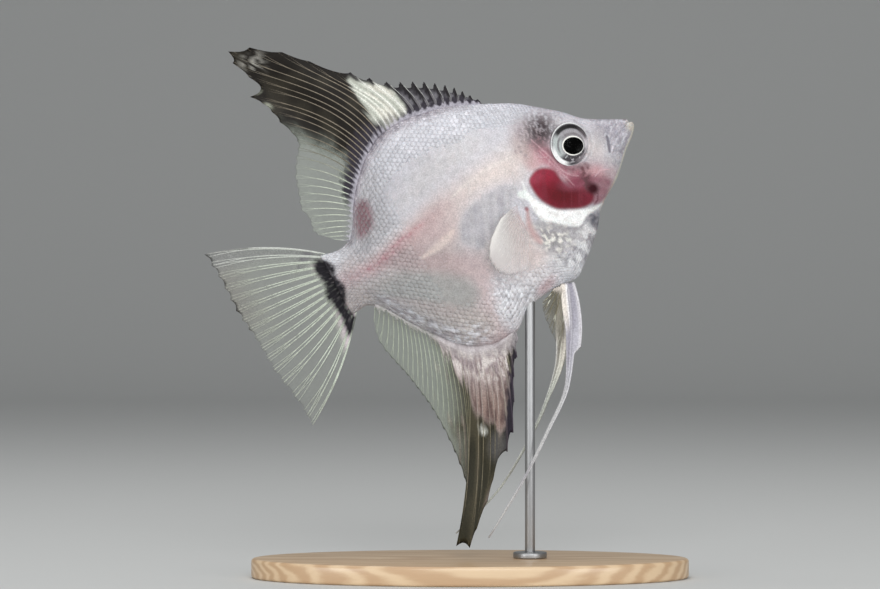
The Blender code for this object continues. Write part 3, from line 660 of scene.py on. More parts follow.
def relief(u, y, v):
    """Height over the bare body, in mm."""
    side = fade(0.2, 1.2, np.abs(y))
    height = -COAT_DEPTH * np.ones(np.shape(u))

    def line(points, widths, shift=(0, 0)):
        return stroke(u, v, np.add(points, shift), widths, 0.9)

    plate = gill_plate(u, v) * (1 - 0.75 * fade(-2, 4, v))
    height += side * 0.15 * plate * window(u, 14.5, 19, 25.5, 26.5)
    for ridge, tall in zip(CHEEK_RIDGES, (0.07, 0.05, 0.05)):
        height += side * tall * line(ridge, (0.12, 0.2, 0.14))
        height -= side * 0.5 * tall * line(ridge, (0.1, 0.2, 0.1), (0.3, -0.25))
    # The gape, closed but for a fine line, with a full lip on each side of it
    height -= 0.15 * line(MOUTH_LINE, (0.22, 0.14, 0.1, 0.08, 0.06)) * (1 - 0.8 * fade(0.8, 3.4, u))
    height += 0.08 * line(MOUTH_LINE[1:], (0.3, 0.28, 0.2, 0.1), (0.15, 0.42))
    height += 0.1 * line(MOUTH_LINE[1:], (0.38, 0.34, 0.25, 0.1), (-0.1, -0.5))
    # The fold behind the upper jaw, and the nostril
    height -= side * 0.14 * line(UPPER_JAW_FOLD, (0.12, 0.18, 0.12))
    height -= side * 0.16 * blot(u, v, NOSTRIL, (0.26, 0.2), tilt=-30)
    height += side * 0.04 * blot(u, v, NOSTRIL, (0.55, 0.45), tilt=-30)
    crumple = noise((u + v) / 0.5, (v - u) / 1.6, seed=61) - 0.5
    height += side * 0.03 * crumple * fall(4, 8, u + 0.5 * np.abs(v - 1))
    # Root of the pectoral fin and the blocks of muscle along the flank
    height += 0.08 * side * line(PECTORAL_BAR, (0.4, 0.7, 0.4))
    blocks = np.cos((u + 0.35 * np.abs(v - 1.5)) * 2 * math.pi / 1.9)
    height += side * 0.01 * blocks * window(u, 26, 32, 54, 58)
    return height


# %% [markdown]
# The eye sits in a round opening. Its outline is an ellipse, upright when the fish is displayed,
# so the distance to it is measured in the eye's own directions, ahead and up.

# %% Opening for the eye
RIM_REACH, RIM_SHIFT = (3.42, 3.88), (-0.58, -0.14)  # half width and half height of the iris
PUPIL_REACH, PUPIL_SHIFT = (1.76, 1.5), (0.12, -0.36)


def eye_distance(u, v):
    """1 on the outline of the iris, 0 at its middle."""
    du, dv = u - EYE_CENTRE[0], v - EYE_CENTRE[2]
    ahead = -du * math.cos(PITCH) - dv * math.sin(PITCH)
    up = -du * math.sin(PITCH) + dv * math.cos(PITCH)
    return np.hypot((ahead - RIM_SHIFT[0]) / RIM_REACH[0], (up - RIM_SHIFT[1]) / RIM_REACH[1])


def orbit(u, v):
    """Rim and hollow round the eye: how much to raise the skin there, and where it sinks in."""
    distance = eye_distance(u, v)
    rim = np.exp(-((distance - 1.06) / 0.07) ** 2)
    hollow = fall(0.9, 0.97, distance)
    groove = np.exp(-((distance - 1.22) / 0.07) ** 2)
    return rim * 0.12 - groove * 0.04 - hollow * 1.6


print("the eye is tall for its width by:", round(RIM_REACH[1] / RIM_REACH[0], 2))

# %% [markdown]
# Every smooth piece starts as a flat grid whose points are moved by a function, and is closed by
# merging the points that meet. A grid keeps its rows tidy, so the same helper makes the skin,
# the fins, the rays and the eyes. The finished mesh carries its colours as an attribute.

# %% Grids and objects
def read(items, what, size, kind=float):
    """A property of all vertices or corners, as one row of numbers each."""
    flat = np.empty(len(items) * size, kind)
    items.foreach_get(what, flat)
    return flat.reshape(-1, size)


def mesh_from(name, bm):
    """A new mesh from a bmesh, which is used up."""
    mesh = bpy.data.meshes.new(name)
    bm.to_mesh(mesh)
    bm.free()
    return mesh


def add_object(name, data):
    made = bpy.data.objects.new(name, data)
    bpy.context.scene.collection.objects.link(made)
    return made


def grid_mesh(name, columns, rows, place):
    """A mesh from a grid moved to place(i, j), rows of u, y, v, with i and j from 0 to 1."""
    bm = bmesh.new()
    bmesh.ops.create_grid(bm, x_segments=columns, y_segments=rows, size=0.5)
    mesh = mesh_from(name, bm)
    x, y, _ = read(mesh.vertices, "co", 3).T
    i = np.round((x + 0.5) * columns) / columns
    j = np.round((y + 0.5) * rows) / rows
    points = np.asarray(place(i, j), float)
    mesh.vertices.foreach_set("co", points.ravel())
    return mesh, points, i, j


def set_colours(mesh, colours):
    made = mesh.color_attributes.new("tint", "FLOAT_COLOR", "POINT")
    made.data.foreach_set("color", np.asarray(colours, np.float32).ravel())


def closed(mesh):
    """Merges points that meet, fills what is left open and turns the faces outwards."""
    bm = bmesh.new()
    bm.from_mesh(mesh)
    bmesh.ops.remove_doubles(bm, verts=bm.verts, dist=0.0005)
    bmesh.ops.holes_fill(bm, edges=[edge for edge in bm.edges if edge.is_boundary], sides=0)
    bm.normal_update()
    bmesh.ops.recalc_face_normals(bm, faces=bm.faces)
    bm.to_mesh(mesh)
    bm.free()
    return mesh


def volume(mesh):
    """Signed volume of closed shells, in cubic metres: negative when their faces look inwards."""
    points = read(mesh.vertices, "co", 3)
    mesh.calc_loop_triangles()
    corners = read(mesh.loop_triangles, "vertices", 3, np.int32)
    a, b, c = (points - points.mean(0))[corners].transpose(1, 0, 2)
    return float(np.sum(a * np.cross(b, c)) / 6)


def finish_piece(mesh, finish, replaces, slot):
    """Moves a mesh to the row's frame and makes it a piece of the model."""
    mesh.vertices.foreach_set("co", place_rows(read(mesh.vertices, "co", 3)).ravel())
    if volume(mesh) < 0:
        mesh.flip_normals()
    return new_piece(mesh, finish, replaces, slot)


def new_piece(mesh, finish, replaces, slot):
    mesh.update()
    mesh.shade_smooth()
    mesh.materials.append(finish)
    piece = add_object(mesh.name, mesh)
    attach(piece, "root")
    if replaces:
        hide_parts(*replaces)
    triangles = sum(len(face.vertices) - 2 for face in mesh.polygons)
    print(f"{mesh.name}: {triangles} triangles")
    return piece


# %% [markdown]
# Shader sums are easier to read as sums. This small class wraps a socket, so that writing
# speckle * 0.4 + 0.8 adds the Math nodes for it.

# %% Writing shaders as sums
class Amount:
    """A socket that carries a number and can be used in sums."""

    def __init__(self, finish, socket):
        self.finish, self.socket = finish, socket

    def __add__(self, other):
        return self.finish.math("ADD", self, other)

    def __sub__(self, other):
        return self.finish.math("SUBTRACT", self, other)

    def __rsub__(self, other):
        return self.finish.math("SUBTRACT", other, self)

    def __mul__(self, other):
        return self.finish.math("MULTIPLY", self, other)

    def __pow__(self, other):
        return self.finish.math("POWER", self, other)

    __radd__, __rmul__ = __add__, __mul__


# %% [markdown]
# Finish builds one material: its node method takes a node's type, its settings and the values
# or links of its inputs. Nearly every finish here starts from a painted colour with flecks in it.

# %% Building a finish
class Finish:
    """One material, built node by node."""

    def __init__(self, name):
        self.material = bpy.data.materials.new(name)
        self.material.use_nodes = True
        self.tree = self.material.node_tree
        self.tree.nodes.clear()
        self.output = self.tree.nodes.new("ShaderNodeOutputMaterial")

    def node(self, kind, settings=None, **inputs):
        made = self.tree.nodes.new(kind)
        for name, value in (settings or {}).items():
            setattr(made, name, value)
        for name, value in inputs.items():
            key = int(name[1:]) if name[1:].isdigit() and name[0] == "i" else name.replace("_", " ")
            self.feed(made.inputs[key], value)
        return made

    def feed(self, socket, value):
        value = value.socket if isinstance(value, Amount) else value
        if isinstance(value, bpy.types.NodeSocket):
            self.tree.links.new(value, socket)
        else:
            socket.default_value = value

    def math(self, operation, *values):
        settings = {"operation": operation}
        inputs = {f"i{k}": value for k, value in enumerate(values)}
        return Amount(self, self.node("ShaderNodeMath", settings, **inputs).outputs[0])

    def between(self, low, high, value):
        """0 below low, 1 above high, smooth between."""
        made = self.node("ShaderNodeMapRange", {"interpolation_type": "SMOOTHSTEP"},
                         i0=value, i1=low, i2=high)
        return Amount(self, made.outputs[0])

    def colours(self, blend, share, first, second):
        made = self.node("ShaderNodeMix", {"data_type": "RGBA", "blend_type": blend},
                         i0=share, i6=first, i7=second)
        return made.outputs[2]

    def painted(self, size, low, high, grain, least):
        """The painted colour with flecks in it, the paint's fourth number, and the flecks."""
        tint = self.attribute("tint")
        flecks = self.noise(self.coordinates(), size, 3.0, 0.6)
        colour = self.shaded(tint, self.between(low, high, flecks) * grain + least)
        return colour, Amount(self, tint.outputs["Alpha"]), flecks

    def shaded(self, tint, shade):
        """A painted tint made darker or lighter by a number."""
        grey = self.node("ShaderNodeCombineColor", i0=shade, i1=shade, i2=shade).outputs[0]
        return self.colours("MULTIPLY", 1.0, tint.outputs["Color"], grey)

    def coordinates(self, scale=(1, 1, 1)):
        place = self.node("ShaderNodeTexCoord").outputs["Object"]
        return self.node("ShaderNodeMapping", Vector=place, Scale=scale).outputs[0]

    def noise(self, place, size, detail=2.0, roughness=0.5):
        """Noise with features of the given size, in mm."""
        made = self.node("ShaderNodeTexNoise", Vector=place, Scale=1 / (size * MM), Detail=detail,
                         Roughness=roughness)
        return Amount(self, made.outputs["Fac"])

    def attribute(self, name):
        return self.node("ShaderNodeAttribute", {"attribute_name": name})

    def bump(self, height, strength, distance):
        """A Bump node's normal: strength 0..1, distance in mm."""
        return self.node("ShaderNodeBump", Height=height, Strength=strength,
                         Distance=distance * MM).outputs[0]

    def principled(self, inputs):
        """Ends the finish with a Principled shader and gives back the material."""
        made = self.node("ShaderNodeBsdfPrincipled", **inputs)
        self.tree.links.new(made.outputs[0], self.output.inputs["Surface"])
        return self.material


print("shader helpers ready")

# %% [markdown]
# The skin is a wet, pearly film over flesh that lets light in a little way. Its colour is the
# painted tint, broken up by two sizes of fleck, because the silver in a fish's skin lies in tiny
# plates. Where the fourth number says silver, it is smoother and more like metal.

# %% Finish of the skin
WET = {"Subsurface Weight": 0.15, "Subsurface Scale": MM, "Coat Roughness": 0.15, "IOR": 1.4,
       "Specular IOR Level": 0.25}


def skin_finish():
    finish = Finish("wet_pearl_skin")
    tint = finish.attribute("tint")
    silver = Amount(finish, tint.outputs["Alpha"])
    place = finish.coordinates()
    flecks = finish.noise(place, 0.22, 3.0, 0.65)
    patches = finish.noise(place, 1.3, 2.0)
    cells = finish.node("ShaderNodeTexVoronoi", None, Vector=place, Scale=1 / (0.32 * MM))
    spots = Amount(finish, cells.outputs["Distance"])
    shade = finish.between(0.3, 0.7, flecks) * 0.28 + finish.between(0.3, 0.7, patches) * 0.12 + 0.72
    shade = shade * (1 - silver * finish.between(0.25, 0.6, spots) * 0.3)
    colour = finish.shaded(tint, shade)
    normal = finish.bump(flecks + spots * 0.4, 0.35, 0.04)
    return finish.principled({
        "Subsurface Radius": (0.9, 0.35, 0.25), **WET, "Base Color": colour, "Normal": normal,
        "Roughness": 0.5 - silver * 0.18 + flecks * 0.1, "Metallic": silver * 0.2,
        "Coat Weight": silver * 0.35,
    })


SKIN = skin_finish()

# %% [markdown]
# One closed skin covers head, jaw, gill covers, trunk and tail stalk, so that no seam shows. It
# is a grid wrapped round the body: closest together on the head, where the detail is.

# %% Skin
SKIN_COLUMNS, SKIN_ROWS = 330, 290
FLESH = ["head", "lower_jaw", "gill_cover_left", "gill_cover_right", "trunk", "tail_stalk"]


def skin_station(share):
    """Where along the body a column lies: the columns crowd together on the head."""
    return BODY_LENGTH * (0.5 * share + 0.5 * share**2.2)


def unit(arrows):
    return arrows / np.maximum(np.linalg.norm(arrows, axis=-1, keepdims=True), 1e-9)


def skin_normals(u, turn):
    """Outward normals of the bare body, in the fish's frame, by small steps."""
    step = 0.01
    along = body_point(u + step, turn) - body_point(u - step, turn)
    round_it = body_point(u, turn + step) - body_point(u, turn - step)
    normal = unit(np.cross(round_it, along))
    axis = np.stack(np.broadcast_arrays(u, 0.0, smooth(WIDEST_LEVEL, u)), -1)
    outward = np.sign(np.sum(normal * (body_point(u, turn) - axis), axis=-1, keepdims=True))
    return normal * np.where(outward == 0, 1, outward)


def skin_point(u, turn):
    bare = body_point(u, turn)
    _, y, v = np.moveaxis(bare, -1, 0)
    height = relief(u, y, v) + orbit(u, v)
    return bare + skin_normals(u, turn) * height[..., None]


def make_skin():
    def place(i, j):
        turn = 2 * math.pi * (j % 1.0)
        return skin_point(skin_station(i), turn + 0.2 * np.sin(2 * turn))

    mesh, points, _, _ = grid_mesh("skin", SKIN_COLUMNS, SKIN_ROWS, place)
    set_colours(mesh, markings(points))
    closed(mesh)
    return finish_piece(mesh, SKIN, FLESH, "skin")


skin = make_skin()

# %% [markdown]
# Things that come by the hundred, scales and fin rays, start as one small template made with
# mesh operators. Arrays then copy its points as often as needed, and a function moves every copy
# to its place at once. The result is one solid mesh, quick to make, with no loose instances.

# %% Copies of a template
def template_arrays(bm):
    """Points and triangles of a small mesh, which is used up."""
    bm.normal_update()
    bmesh.ops.recalc_face_normals(bm, faces=bm.faces)
    bmesh.ops.triangulate(bm, faces=bm.faces)
    bm.verts.index_update()
    points = np.array([vert.co[:] for vert in bm.verts])
    faces = np.array([[vert.index for vert in face.verts] for face in bm.faces])
    bm.free()
    return points, faces[np.lexsort(faces.T)]  # solidify makes its rim in any order


def copies_mesh(name, faces, points):
    """One mesh of many copies: points is (copies, template points, 3) in the fish's frame."""
    count, size = points.shape[:2]
    all_faces = (faces[None] + np.arange(count)[:, None, None] * size).reshape(-1, 3)
    mesh = bpy.data.meshes.new(name)
    mesh.vertices.add(count * size)
    mesh.vertices.foreach_set("co", points.ravel())
    mesh.loops.add(all_faces.size)
    mesh.loops.foreach_set("vertex_index", all_faces.ravel().astype(np.int32))
    mesh.polygons.add(len(all_faces))
    mesh.polygons.foreach_set("loop_start", np.arange(0, all_faces.size, 3, dtype=np.int32))
    mesh.update(calc_edges=True)
    return mesh


# %% [markdown]
# A scale is a thin rounded shield, rooted in front and free behind, like a roof tile. The
# template lies flat: x runs tailwards from root to free edge and y across. A grid gives it its
# few faces, solidify its thickness.

# %% Template of a scale
def scale_template():
    bm = bmesh.new()
    bmesh.ops.create_grid(bm, x_segments=2, y_segments=4, size=0.5)
    for vert in bm.verts:
        along, across = vert.co.x + 0.5, vert.co.y * 2
        along = (0, 0.55, 1)[round(along * 2)]
        width = (0.62, 1, 0.8)[round((vert.co.x + 0.5) * 2)]
        vert.co = (along * (1 - 0.22 * across**2), across * width / 2, 0.05 * (1 - across**2))
    bm.normal_update()
    bmesh.ops.solidify(bm, geom=bm.faces[:], thickness=0.045)
    return template_arrays(bm)


scale_points, scale_faces = scale_template()
print("triangles in one scale:", len(scale_faces))

# %% [markdown]
# The scales stand in rows that follow the widest line of the body, every second one half a step
# behind its neighbours. Nape, breast and the edges by the fins carry a finer kind, and the snout,
# cheek and gill cover are bare. Roots are spaced by the length of the skin round each section.

# %% Roots of the scales
COARSE, FINE = (0.72, 0.9), (0.52, 0.58)  # steps along and across the body
SECTION_STEPS = 160


def cover(u, v):
    """How far inside the scaled part a place is, in mm; below 0 on snout, cheek and gill cover."""
    snout = 0.8 * (v + 0.75 * (u - 14.5) - 6.6)
    cheek = np.maximum(np.maximum(u - 25.2, -11.6 - v), 0.9 * (v - 7.4 - 0.5 * (u - 19)))
    over_throat = np.maximum(snout, -10.4 - v)
    return np.minimum(np.minimum(over_throat, cheek), u - 12.2)


def fine_kind(u, v):
    nape = u + 0.35 * v < 27.5
    breast = u - 0.6 * (v + 9) < 29
    by_fins = (smooth(BACK, u) - v < 1.7) | (v - smooth(BELLY, u) < 1.4)
    return nape & (v > 2) | breast & (v < -8) | by_fins | (u > 57)


def scale_depth(u, v):
    """How far the scales stand out from each other: most on the upper, rear and lower flank."""
    upper, rear, lower = fade(5, 13, v + 0.25 * (u - 27)), fade(40, 50, u), fade(-12, -18, v)
    upper = upper * (1 - 0.8 * fade(2, 8, smooth(BACK, u) - v))
    return 0.12 + 0.88 * np.maximum(np.maximum(upper, 0.65 * rear), 0.75 * lower)


def section_arc(u):
    """Length along the left half of a section, counted from its widest place, and its turns."""
    turn = np.linspace(0, math.pi, SECTION_STEPS + 1)
    line = body_point(np.full_like(turn, u), turn)
    arc = np.concatenate([[0], np.cumsum(np.linalg.norm(np.diff(line, axis=0), axis=1))])
    return arc - arc[SECTION_STEPS // 2], turn


def scale_roots(steps, kind):
    """For every root on the left side: u, turn, mm of arc for each unit of turn, and the steps."""
    along, across = steps
    roots = []
    for row, u in enumerate(np.arange(2.0, BODY_LENGTH - 0.9, along)):
        arc, turn = section_arc(u)
        low, high = math.ceil(arc[0] / across), math.floor(arc[-1] / across)
        places = (np.arange(low, high + 1) + 0.5 * (row % 2)) * across
        places = places[(places > arc[0] + 0.3) & (places < arc[-1] - 0.3)]
        rate = np.gradient(arc, turn)
        for place in places:
            at = float(np.interp(place, arc, turn))
            roots.append((u, at, max(float(np.interp(at, turn, rate)), 1.0), along, across))
    roots = np.array(roots)
    u, _, v = body_point(roots[:, 0], roots[:, 1]).T
    return roots[kind(u, v) & (cover(u, v) > 0)]


print("skin round the left flank at mid body, mm:", round(float(np.ptp(section_arc(32)[0])), 1))

# %% [markdown]
# Each scale is bent to the body by asking the body for its surface under every point, and takes
# the skin's marking there, with painted shade near its root, where the scale in front overlaps it,
# painted light at its free edge and a painted glint on a few. For baking it gets a small patch of
# the map, where its root lies on the unrolled skin.

# %% Scales
SCALE_LENGTH, SCALE_WIDTH = 1.5, 1.25  # in steps, so that the scales overlap
SCALE_SINK, SCALE_TILT = 0.075, 0.026
PATCH, MAP_RIM = 0.003, 0.03  # a scale's patch and the free rim, as shares of the baking map


def patch_map(mesh, u0, turn0, x, across):
    map_u = MAP_RIM + (1 - 2 * MAP_RIM) * u0 / BODY_LENGTH + (x - 0.5) * PATCH
    map_v = MAP_RIM + (1 - 2 * MAP_RIM) * turn0 / (2 * math.pi) + across * PATCH
    corners = read(mesh.loops, "vertex_index", 1, np.int32)[:, 0]
    places = np.stack([map_u.ravel(), map_v.ravel()], -1)[corners]
    mesh.uv_layers.new(name="OFBake").data.foreach_set("uv", places.ravel())


def scale_finish():
    finish = Finish("pearl_scale")
    colour, silver, flecks = finish.painted(0.2, 0.3, 0.75, 0.18, 0.95)
    return finish.principled({
        "Subsurface Radius": (0.5, 0.3, 0.25), **WET, "Base Color": colour,
        "Roughness": 0.5 - silver * 0.2, "Metallic": silver * 0.2, "Coat Weight": silver * 0.35,
        "Normal": finish.bump(flecks, 0.3, 0.03),
    })


SCALE = scale_finish()


def make_scales(side, word, random):
    roots = np.vstack([scale_roots(COARSE, lambda u, v: ~fine_kind(u, v)), scale_roots(FINE, fine_kind)])
    u0, turn0, rate, along, across = roots.T[..., None]
    _, _, v0 = np.moveaxis(body_point(u0, turn0), -1, 0)

    def uneven(spread):
        return spread * random.standard_normal(u0.shape)

    size, tone = 1 + uneven(0.1), 1 + uneven(0.085)
    depth = scale_depth(u0, v0)
    buried = np.maximum(fall(0, 2.6, cover(u0, v0)), 0.75 * fall(0.12, 0.42, depth))
    tilt, skew = (SCALE_TILT + uneven(0.014)) * depth, uneven(0.06)
    x, y, z = scale_points.T[:, None]
    u = np.minimum(u0 + (x - 0.15) * along * SCALE_LENGTH * size, BODY_LENGTH - 0.02)
    turn = side * (turn0 + (y * SCALE_WIDTH * size + skew * x) * across / rate)
    surface = body_point(u, turn)
    height = 0.015 * depth - SCALE_SINK + tilt * x * along + z * depth - 0.1 * buried
    points = surface + skin_normals(u, turn) * height[..., None]
    mesh = copies_mesh(f"scales_{word}", scale_faces, points)
    edge = np.broadcast_to(np.clip((x - 0.5) * 2, 0, 1), u.shape)
    shade = markings(surface, under=1 - edge)
    # Painted light: each scale is darker near its root, as in the shade of the scale in front, and lighter at
    # its free edge, where a few also get a painted glint.
    glint = (random.random(u0.shape) > 0.85) * edge * 0.22
    light = (1 + (tone - 1) * depth) * (1 + depth * (edge * 0.15 - 0.09 + glint))
    shade[..., :3] = np.clip(shade[..., :3] * light[..., None], 0, 0.97)
    set_colours(mesh, shade.reshape(-1, 4))
    patch_map(mesh, u0, side * turn0 % (2 * math.pi), x, y)
    return finish_piece(mesh, SCALE, [], "skin")


random = np.random.default_rng(7)
for side, word in SIDES:
    make_scales(side, word, random)

# %% [markdown]
# A fish's eye has no lids. A flat dish, the iris, lies under a clear dome, the cornea, and the
# ball of the lens fills the pupil and bulges through it. The iris is silvery, with a dark arc on
# top, a dark speckled patch below, a bright white rim and a painted highlight, a white wedge on its
# rim low at the back, all painted by radius and bearing.

# %% Colours of the iris
EYE_TURN = math.radians(8)


def eye_place(side, ahead, up, out):
    """A place on the eye, in the fish's frame: ahead and up as seen in its display pose."""
    tail = -ahead * math.cos(PITCH) - up * math.sin(PITCH)
    v = -ahead * math.sin(PITCH) + up * math.cos(PITCH)
    u = tail * math.cos(EYE_TURN) - out * math.sin(EYE_TURN)
    y = tail * math.sin(EYE_TURN) + out * math.cos(EYE_TURN)
    return np.stack([EYE_CENTRE[0] + u, side * (EYE_CENTRE[1] + y), EYE_CENTRE[2] + v], -1)


def eye_ring(share, bearing, wider=0.0, narrow=1.0):
    """Ahead and up on the ring at a share of the way from the pupil's edge to the rim."""
    return [mix(PUPIL_SHIFT[k], RIM_SHIFT[k], share)
            + (mix(PUPIL_REACH[k], RIM_REACH[k], share) + wider) * turned(bearing) * narrow
            for k, turned in enumerate((np.cos, np.sin))]


def arc_mask(bearing, middle, half, soft):
    """1 within half degrees of a bearing, fading over soft degrees."""
    off = np.abs((np.degrees(bearing) - middle + 180) % 360 - 180)
    return fall(half - soft, half + soft, off)


# Each dark or pale arc: colour, bearing and half width in degrees, softness, and its band of radius
ARCS = [
    ((0.48, 0.53, 0.52), 192, 46, 25, (0.2, 0.85, 0.15), 0.85),
    ((0.13, 0.12, 0.13), 180, 34, 16, (0.34, 0.5, 0.07), 0.85),
    ((0.6, 0.555, 0.58), 0, 36, 22, (0.36, 0.88, 0.15), 0.8),
    ((0.16, 0.14, 0.15), 92, 60, 20, (0.16, 0.34, 0.06), "speckle"),
    ((0.34, 0.32, 0.34), 95, 50, 20, (0.38, 0.5, 0.06), 0.6),
    ((0.01, 0.009, 0.01), 88, 62, 10, (0.6, 0.9, 0.05), 1),
    ((0.13, 0.11, 0.12), 40, 20, 16, (0.5, 0.86, 0.08), 0.7),
    ((0.035, 0.03, 0.035), 288, 58, 14, (0.12, 0.82, 0.1), "flecks"),
    ((0.025, 0.02, 0.025), 262, 40, 14, (0.74, 0.92, 0.04), 0.85),
    ((0.3, 0.26, 0.28), 320, 26, 20, (0.45, 0.85, 0.12), "thin speckle"),
]


def iris_colours(share, bearing):
    speckle = noise(share * 9, np.cos(bearing) * 9, np.sin(bearing) * 9, seed=11)
    fibres = noise(share * 2, np.cos(bearing) * 22, np.sin(bearing) * 22, seed=12)
    broken = {"speckle": 0.3 + 0.7 * speckle, "thin speckle": 0.3 + 0.5 * speckle,
              "flecks": fade(0.1, 0.4, speckle)}
    arcs = [((*colour, 0.6), arc_mask(bearing, *arc) * band(share, *ring) * broken.get(much, much))
            for colour, *arc, ring, much in ARCS]
    return painter((0.27, 0.26, 0.275, 0.6), [
        ((0.4, 0.39, 0.41, 0.6), fade(0.4, 0.8, fibres) * 0.6), *arcs,
        ((0.07, 0.06, 0.07, 0.6), band(share, 0.86, 0.92, 0.03) * 0.5),
        ((0.78, 0.79, 0.79, 0.5), fade(0.9, 0.96, share) * (0.25 + 0.75 * arc_mask(bearing, 155, 100, 40))),
        # Painted highlight: a white wedge on the outer iris, low at the back, where the wet eye would shine.
        ((0.88, 0.88, 0.88, 0.5), arc_mask(bearing, 226, 34, 14) * band(share, 0.66, 1.1, 0.06)),
        ((0.84, 0.83, 0.78, 0.5), fall(0.08, 0.13, share)),
    ])


print("arcs on the iris:", len(ARCS))

# %% [markdown]
# The iris is matt silver, the lens black, and the cornea is seen only by what it mirrors.

# %% Finishes of the eye
def iris_finish():
    finish = Finish("silver_iris")
    colour, _, flecks = finish.painted(0.12, 0.3, 0.7, 0.35, 0.75)
    return finish.principled({"Metallic": 0.1, "Specular IOR Level": 0.2, "Roughness": 0.45,
                              "Base Color": colour, "Normal": finish.bump(flecks, 0.3, 0.03)})


def plain_finish(name, colour, roughness, **others):
    return Finish(name).principled({"Base Color": (*colour, 1), "Roughness": roughness, **others})


def cornea_finish():
    """Clear and wet: mostly see-through, with a mirror film that grows towards its edge."""
    finish = Finish("clear_cornea")
    clear = finish.node("ShaderNodeBsdfTransparent").outputs[0]
    film = finish.node("ShaderNodeBsdfGlossy", Roughness=0.12).outputs[0]
    facing = Amount(finish, finish.node("ShaderNodeLayerWeight").outputs["Facing"])
    share = facing**5.0 * 0.5 + 0.0015
    mixed = finish.node("ShaderNodeMixShader", i0=share, i1=clear, i2=film)
    finish.tree.links.new(mixed.outputs[0], finish.output.inputs["Surface"])
    return finish.material


IRIS = iris_finish()
LENS = plain_finish("black_lens", (0.002, 0.002, 0.002), 0.4, **{"Specular IOR Level": 0.0})
CORNEA = cornea_finish()
print("finishes of the eye:", IRIS.name, LENS.name, CORNEA.name)

# %% [markdown]
# The iris is a grid of rings, closed behind. Lens and cornea are domes over two of its rings.

# %% Eyes
EYE_DEPTH, DOME_RISE = 1.6, 0.72
IRIS_PART = 0.8  # share of the rings in the iris; the rest go down round the ball


def make_eye(side, word):
    def iris_place(i, j):
        share = np.minimum(j / IRIS_PART, 1.0)
        behind = np.maximum(j - IRIS_PART, 0) / (1 - IRIS_PART)
        ahead, up = eye_ring(share, 2 * math.pi * (i % 1.0))
        bowl = 0.34 + 0.34 * share - 0.1 * np.sin(math.pi * share) - EYE_DEPTH * behind
        shrink = 1 - 0.3 * behind
        return eye_place(side, ahead * shrink, up * shrink, bowl)

    mesh, _, i, j = grid_mesh(f"iris_{word}", 144, 40, iris_place)
    set_colours(mesh, iris_colours(np.minimum(j / IRIS_PART, 1.0), 2 * math.pi * i))
    finish_piece(closed(mesh), IRIS, [f"eye_{word}"], "eye")
    for name, columns, share, wider, base, finish in (("lens", 48, 0, 0.05, 0.3, LENS),
                                                      ("cornea", 64, 1, 0.04, 0.66, CORNEA)):
        def dome_place(i, j):
            bearing, lift = 2 * math.pi * (i % 1.0), math.pi / 2 * j
            ahead, up = eye_ring(share, bearing, wider, np.cos(lift))
            return eye_place(side, ahead, up, base + DOME_RISE * np.sin(lift))

        mesh, *_ = grid_mesh(f"{name}_{word}", columns, columns // 4, dome_place)
        finish_piece(closed(mesh), finish, [], "eye")


for side, word in SIDES:
    make_eye(side, word)

# %% [markdown]
# Every fin is a sheet over rays. Its own coordinates are s, counted in rays, and t, from root to
# tip along a ray. One function turns s and t into a place; the membrane and the rays both ask
# it, so they always fit. The sheets wave a little from side to side, as fins under water do.

# %% Sheets
FIN_SINK = 0.45  # how far roots reach into the body


def edge_point(profile, u, lift):
    """A place at a distance from the body's edge, measured square to it."""
    step = 0.05
    rise = (smooth(profile, u + step) - smooth(profile, u - step)) / (2 * step)
    outward = 1 if profile is BACK else -1
    size = np.hypot(rise, 1)
    return u - rise / size * outward * lift, smooth(profile, u) + outward * lift / size


def spaced(profile, ends, count):
    """u of roots at even steps along the body's edge."""
    fine = np.linspace(*ends, 201)
    step = np.hypot(np.diff(fine), np.diff(smooth(profile, fine)))
    length = np.concatenate([[0], np.cumsum(step)])
    return np.interp(np.linspace(0, length[-1], count), length, fine)


class Sheet:
    """A fin: where its rays start and end, how they bow, and how it waves.

    A bow is a share of the ray's length; its skew moves the bend towards the root.
    """

    def __init__(self, roots, tips, bows, wave=0.4, swing=0.0):
        self.roots, self.tips, self.bows = np.array(roots), np.array(tips), np.array(bows)
        self.last, self.wave, self.swing = len(roots) - 1, wave, swing

    def span(self, s):
        """The root of the ray at s, and the straight line from there to its tip."""
        index = np.arange(self.last + 1)
        root = np.stack([np.interp(s, index, self.roots[:, k]) for k in (0, 1)], -1)
        tip = np.stack([np.interp(s, index, self.tips[:, k]) for k in (0, 1)], -1)
        return root, tip - root

    def height(self, s, t):
        """How far out a place is along its ray, in mm from the body's edge."""
        return np.linalg.norm(self.span(s)[1], axis=-1) * t - FIN_SINK

    def place(self, s, t):
        """The middle of the sheet, as u, y, v."""
        root, span = self.span(s)
        at, bow, skew = self.bows.T
        bend = np.interp(s, at, bow) * 4 * t * (1 - t) * (1 + np.interp(s, at, skew) * (1 - 2 * t))
        spot = root + span * t[..., None] + np.stack([-span[..., 1], span[..., 0]], -1) * bend[..., None]
        length = np.hypot(span[..., 0], span[..., 1]) * t
        y = self.wave * (length / 12) * np.sin(0.55 * s + 0.16 * length) + self.swing * (length / 25) ** 2
        return np.stack([spot[..., 0], y, spot[..., 1]], -1)


def tips_at(tips, count):
    """The tip of each ray, on a smooth line through the given ones."""
    rays = np.arange(count, dtype=float)
    return np.stack([smooth([(k, p[axis]) for k, p in tips], rays) for axis in (0, 1)], -1)


def spiny(profile, parts, bows, wave):
    """A fin of spines and soft rays; each part has its ends on the body, its tips and its count."""
    us = np.concatenate([spaced(profile, ends, count) for ends, _, count in parts])
    roots = np.stack(edge_point(profile, us, -FIN_SINK), -1)
    return Sheet(roots, np.concatenate([tips_at(tips, count) for _, tips, count in parts]), bows, wave)


print("a root in the back at mid body:", np.round(edge_point(BACK, np.array(32.0), -FIN_SINK), 2).tolist())

# %% [markdown]
# The dorsal and anal fins start with short spines and go on with long soft rays. Only the tips
# that shape a fin's edge are given, each with the number of its ray.

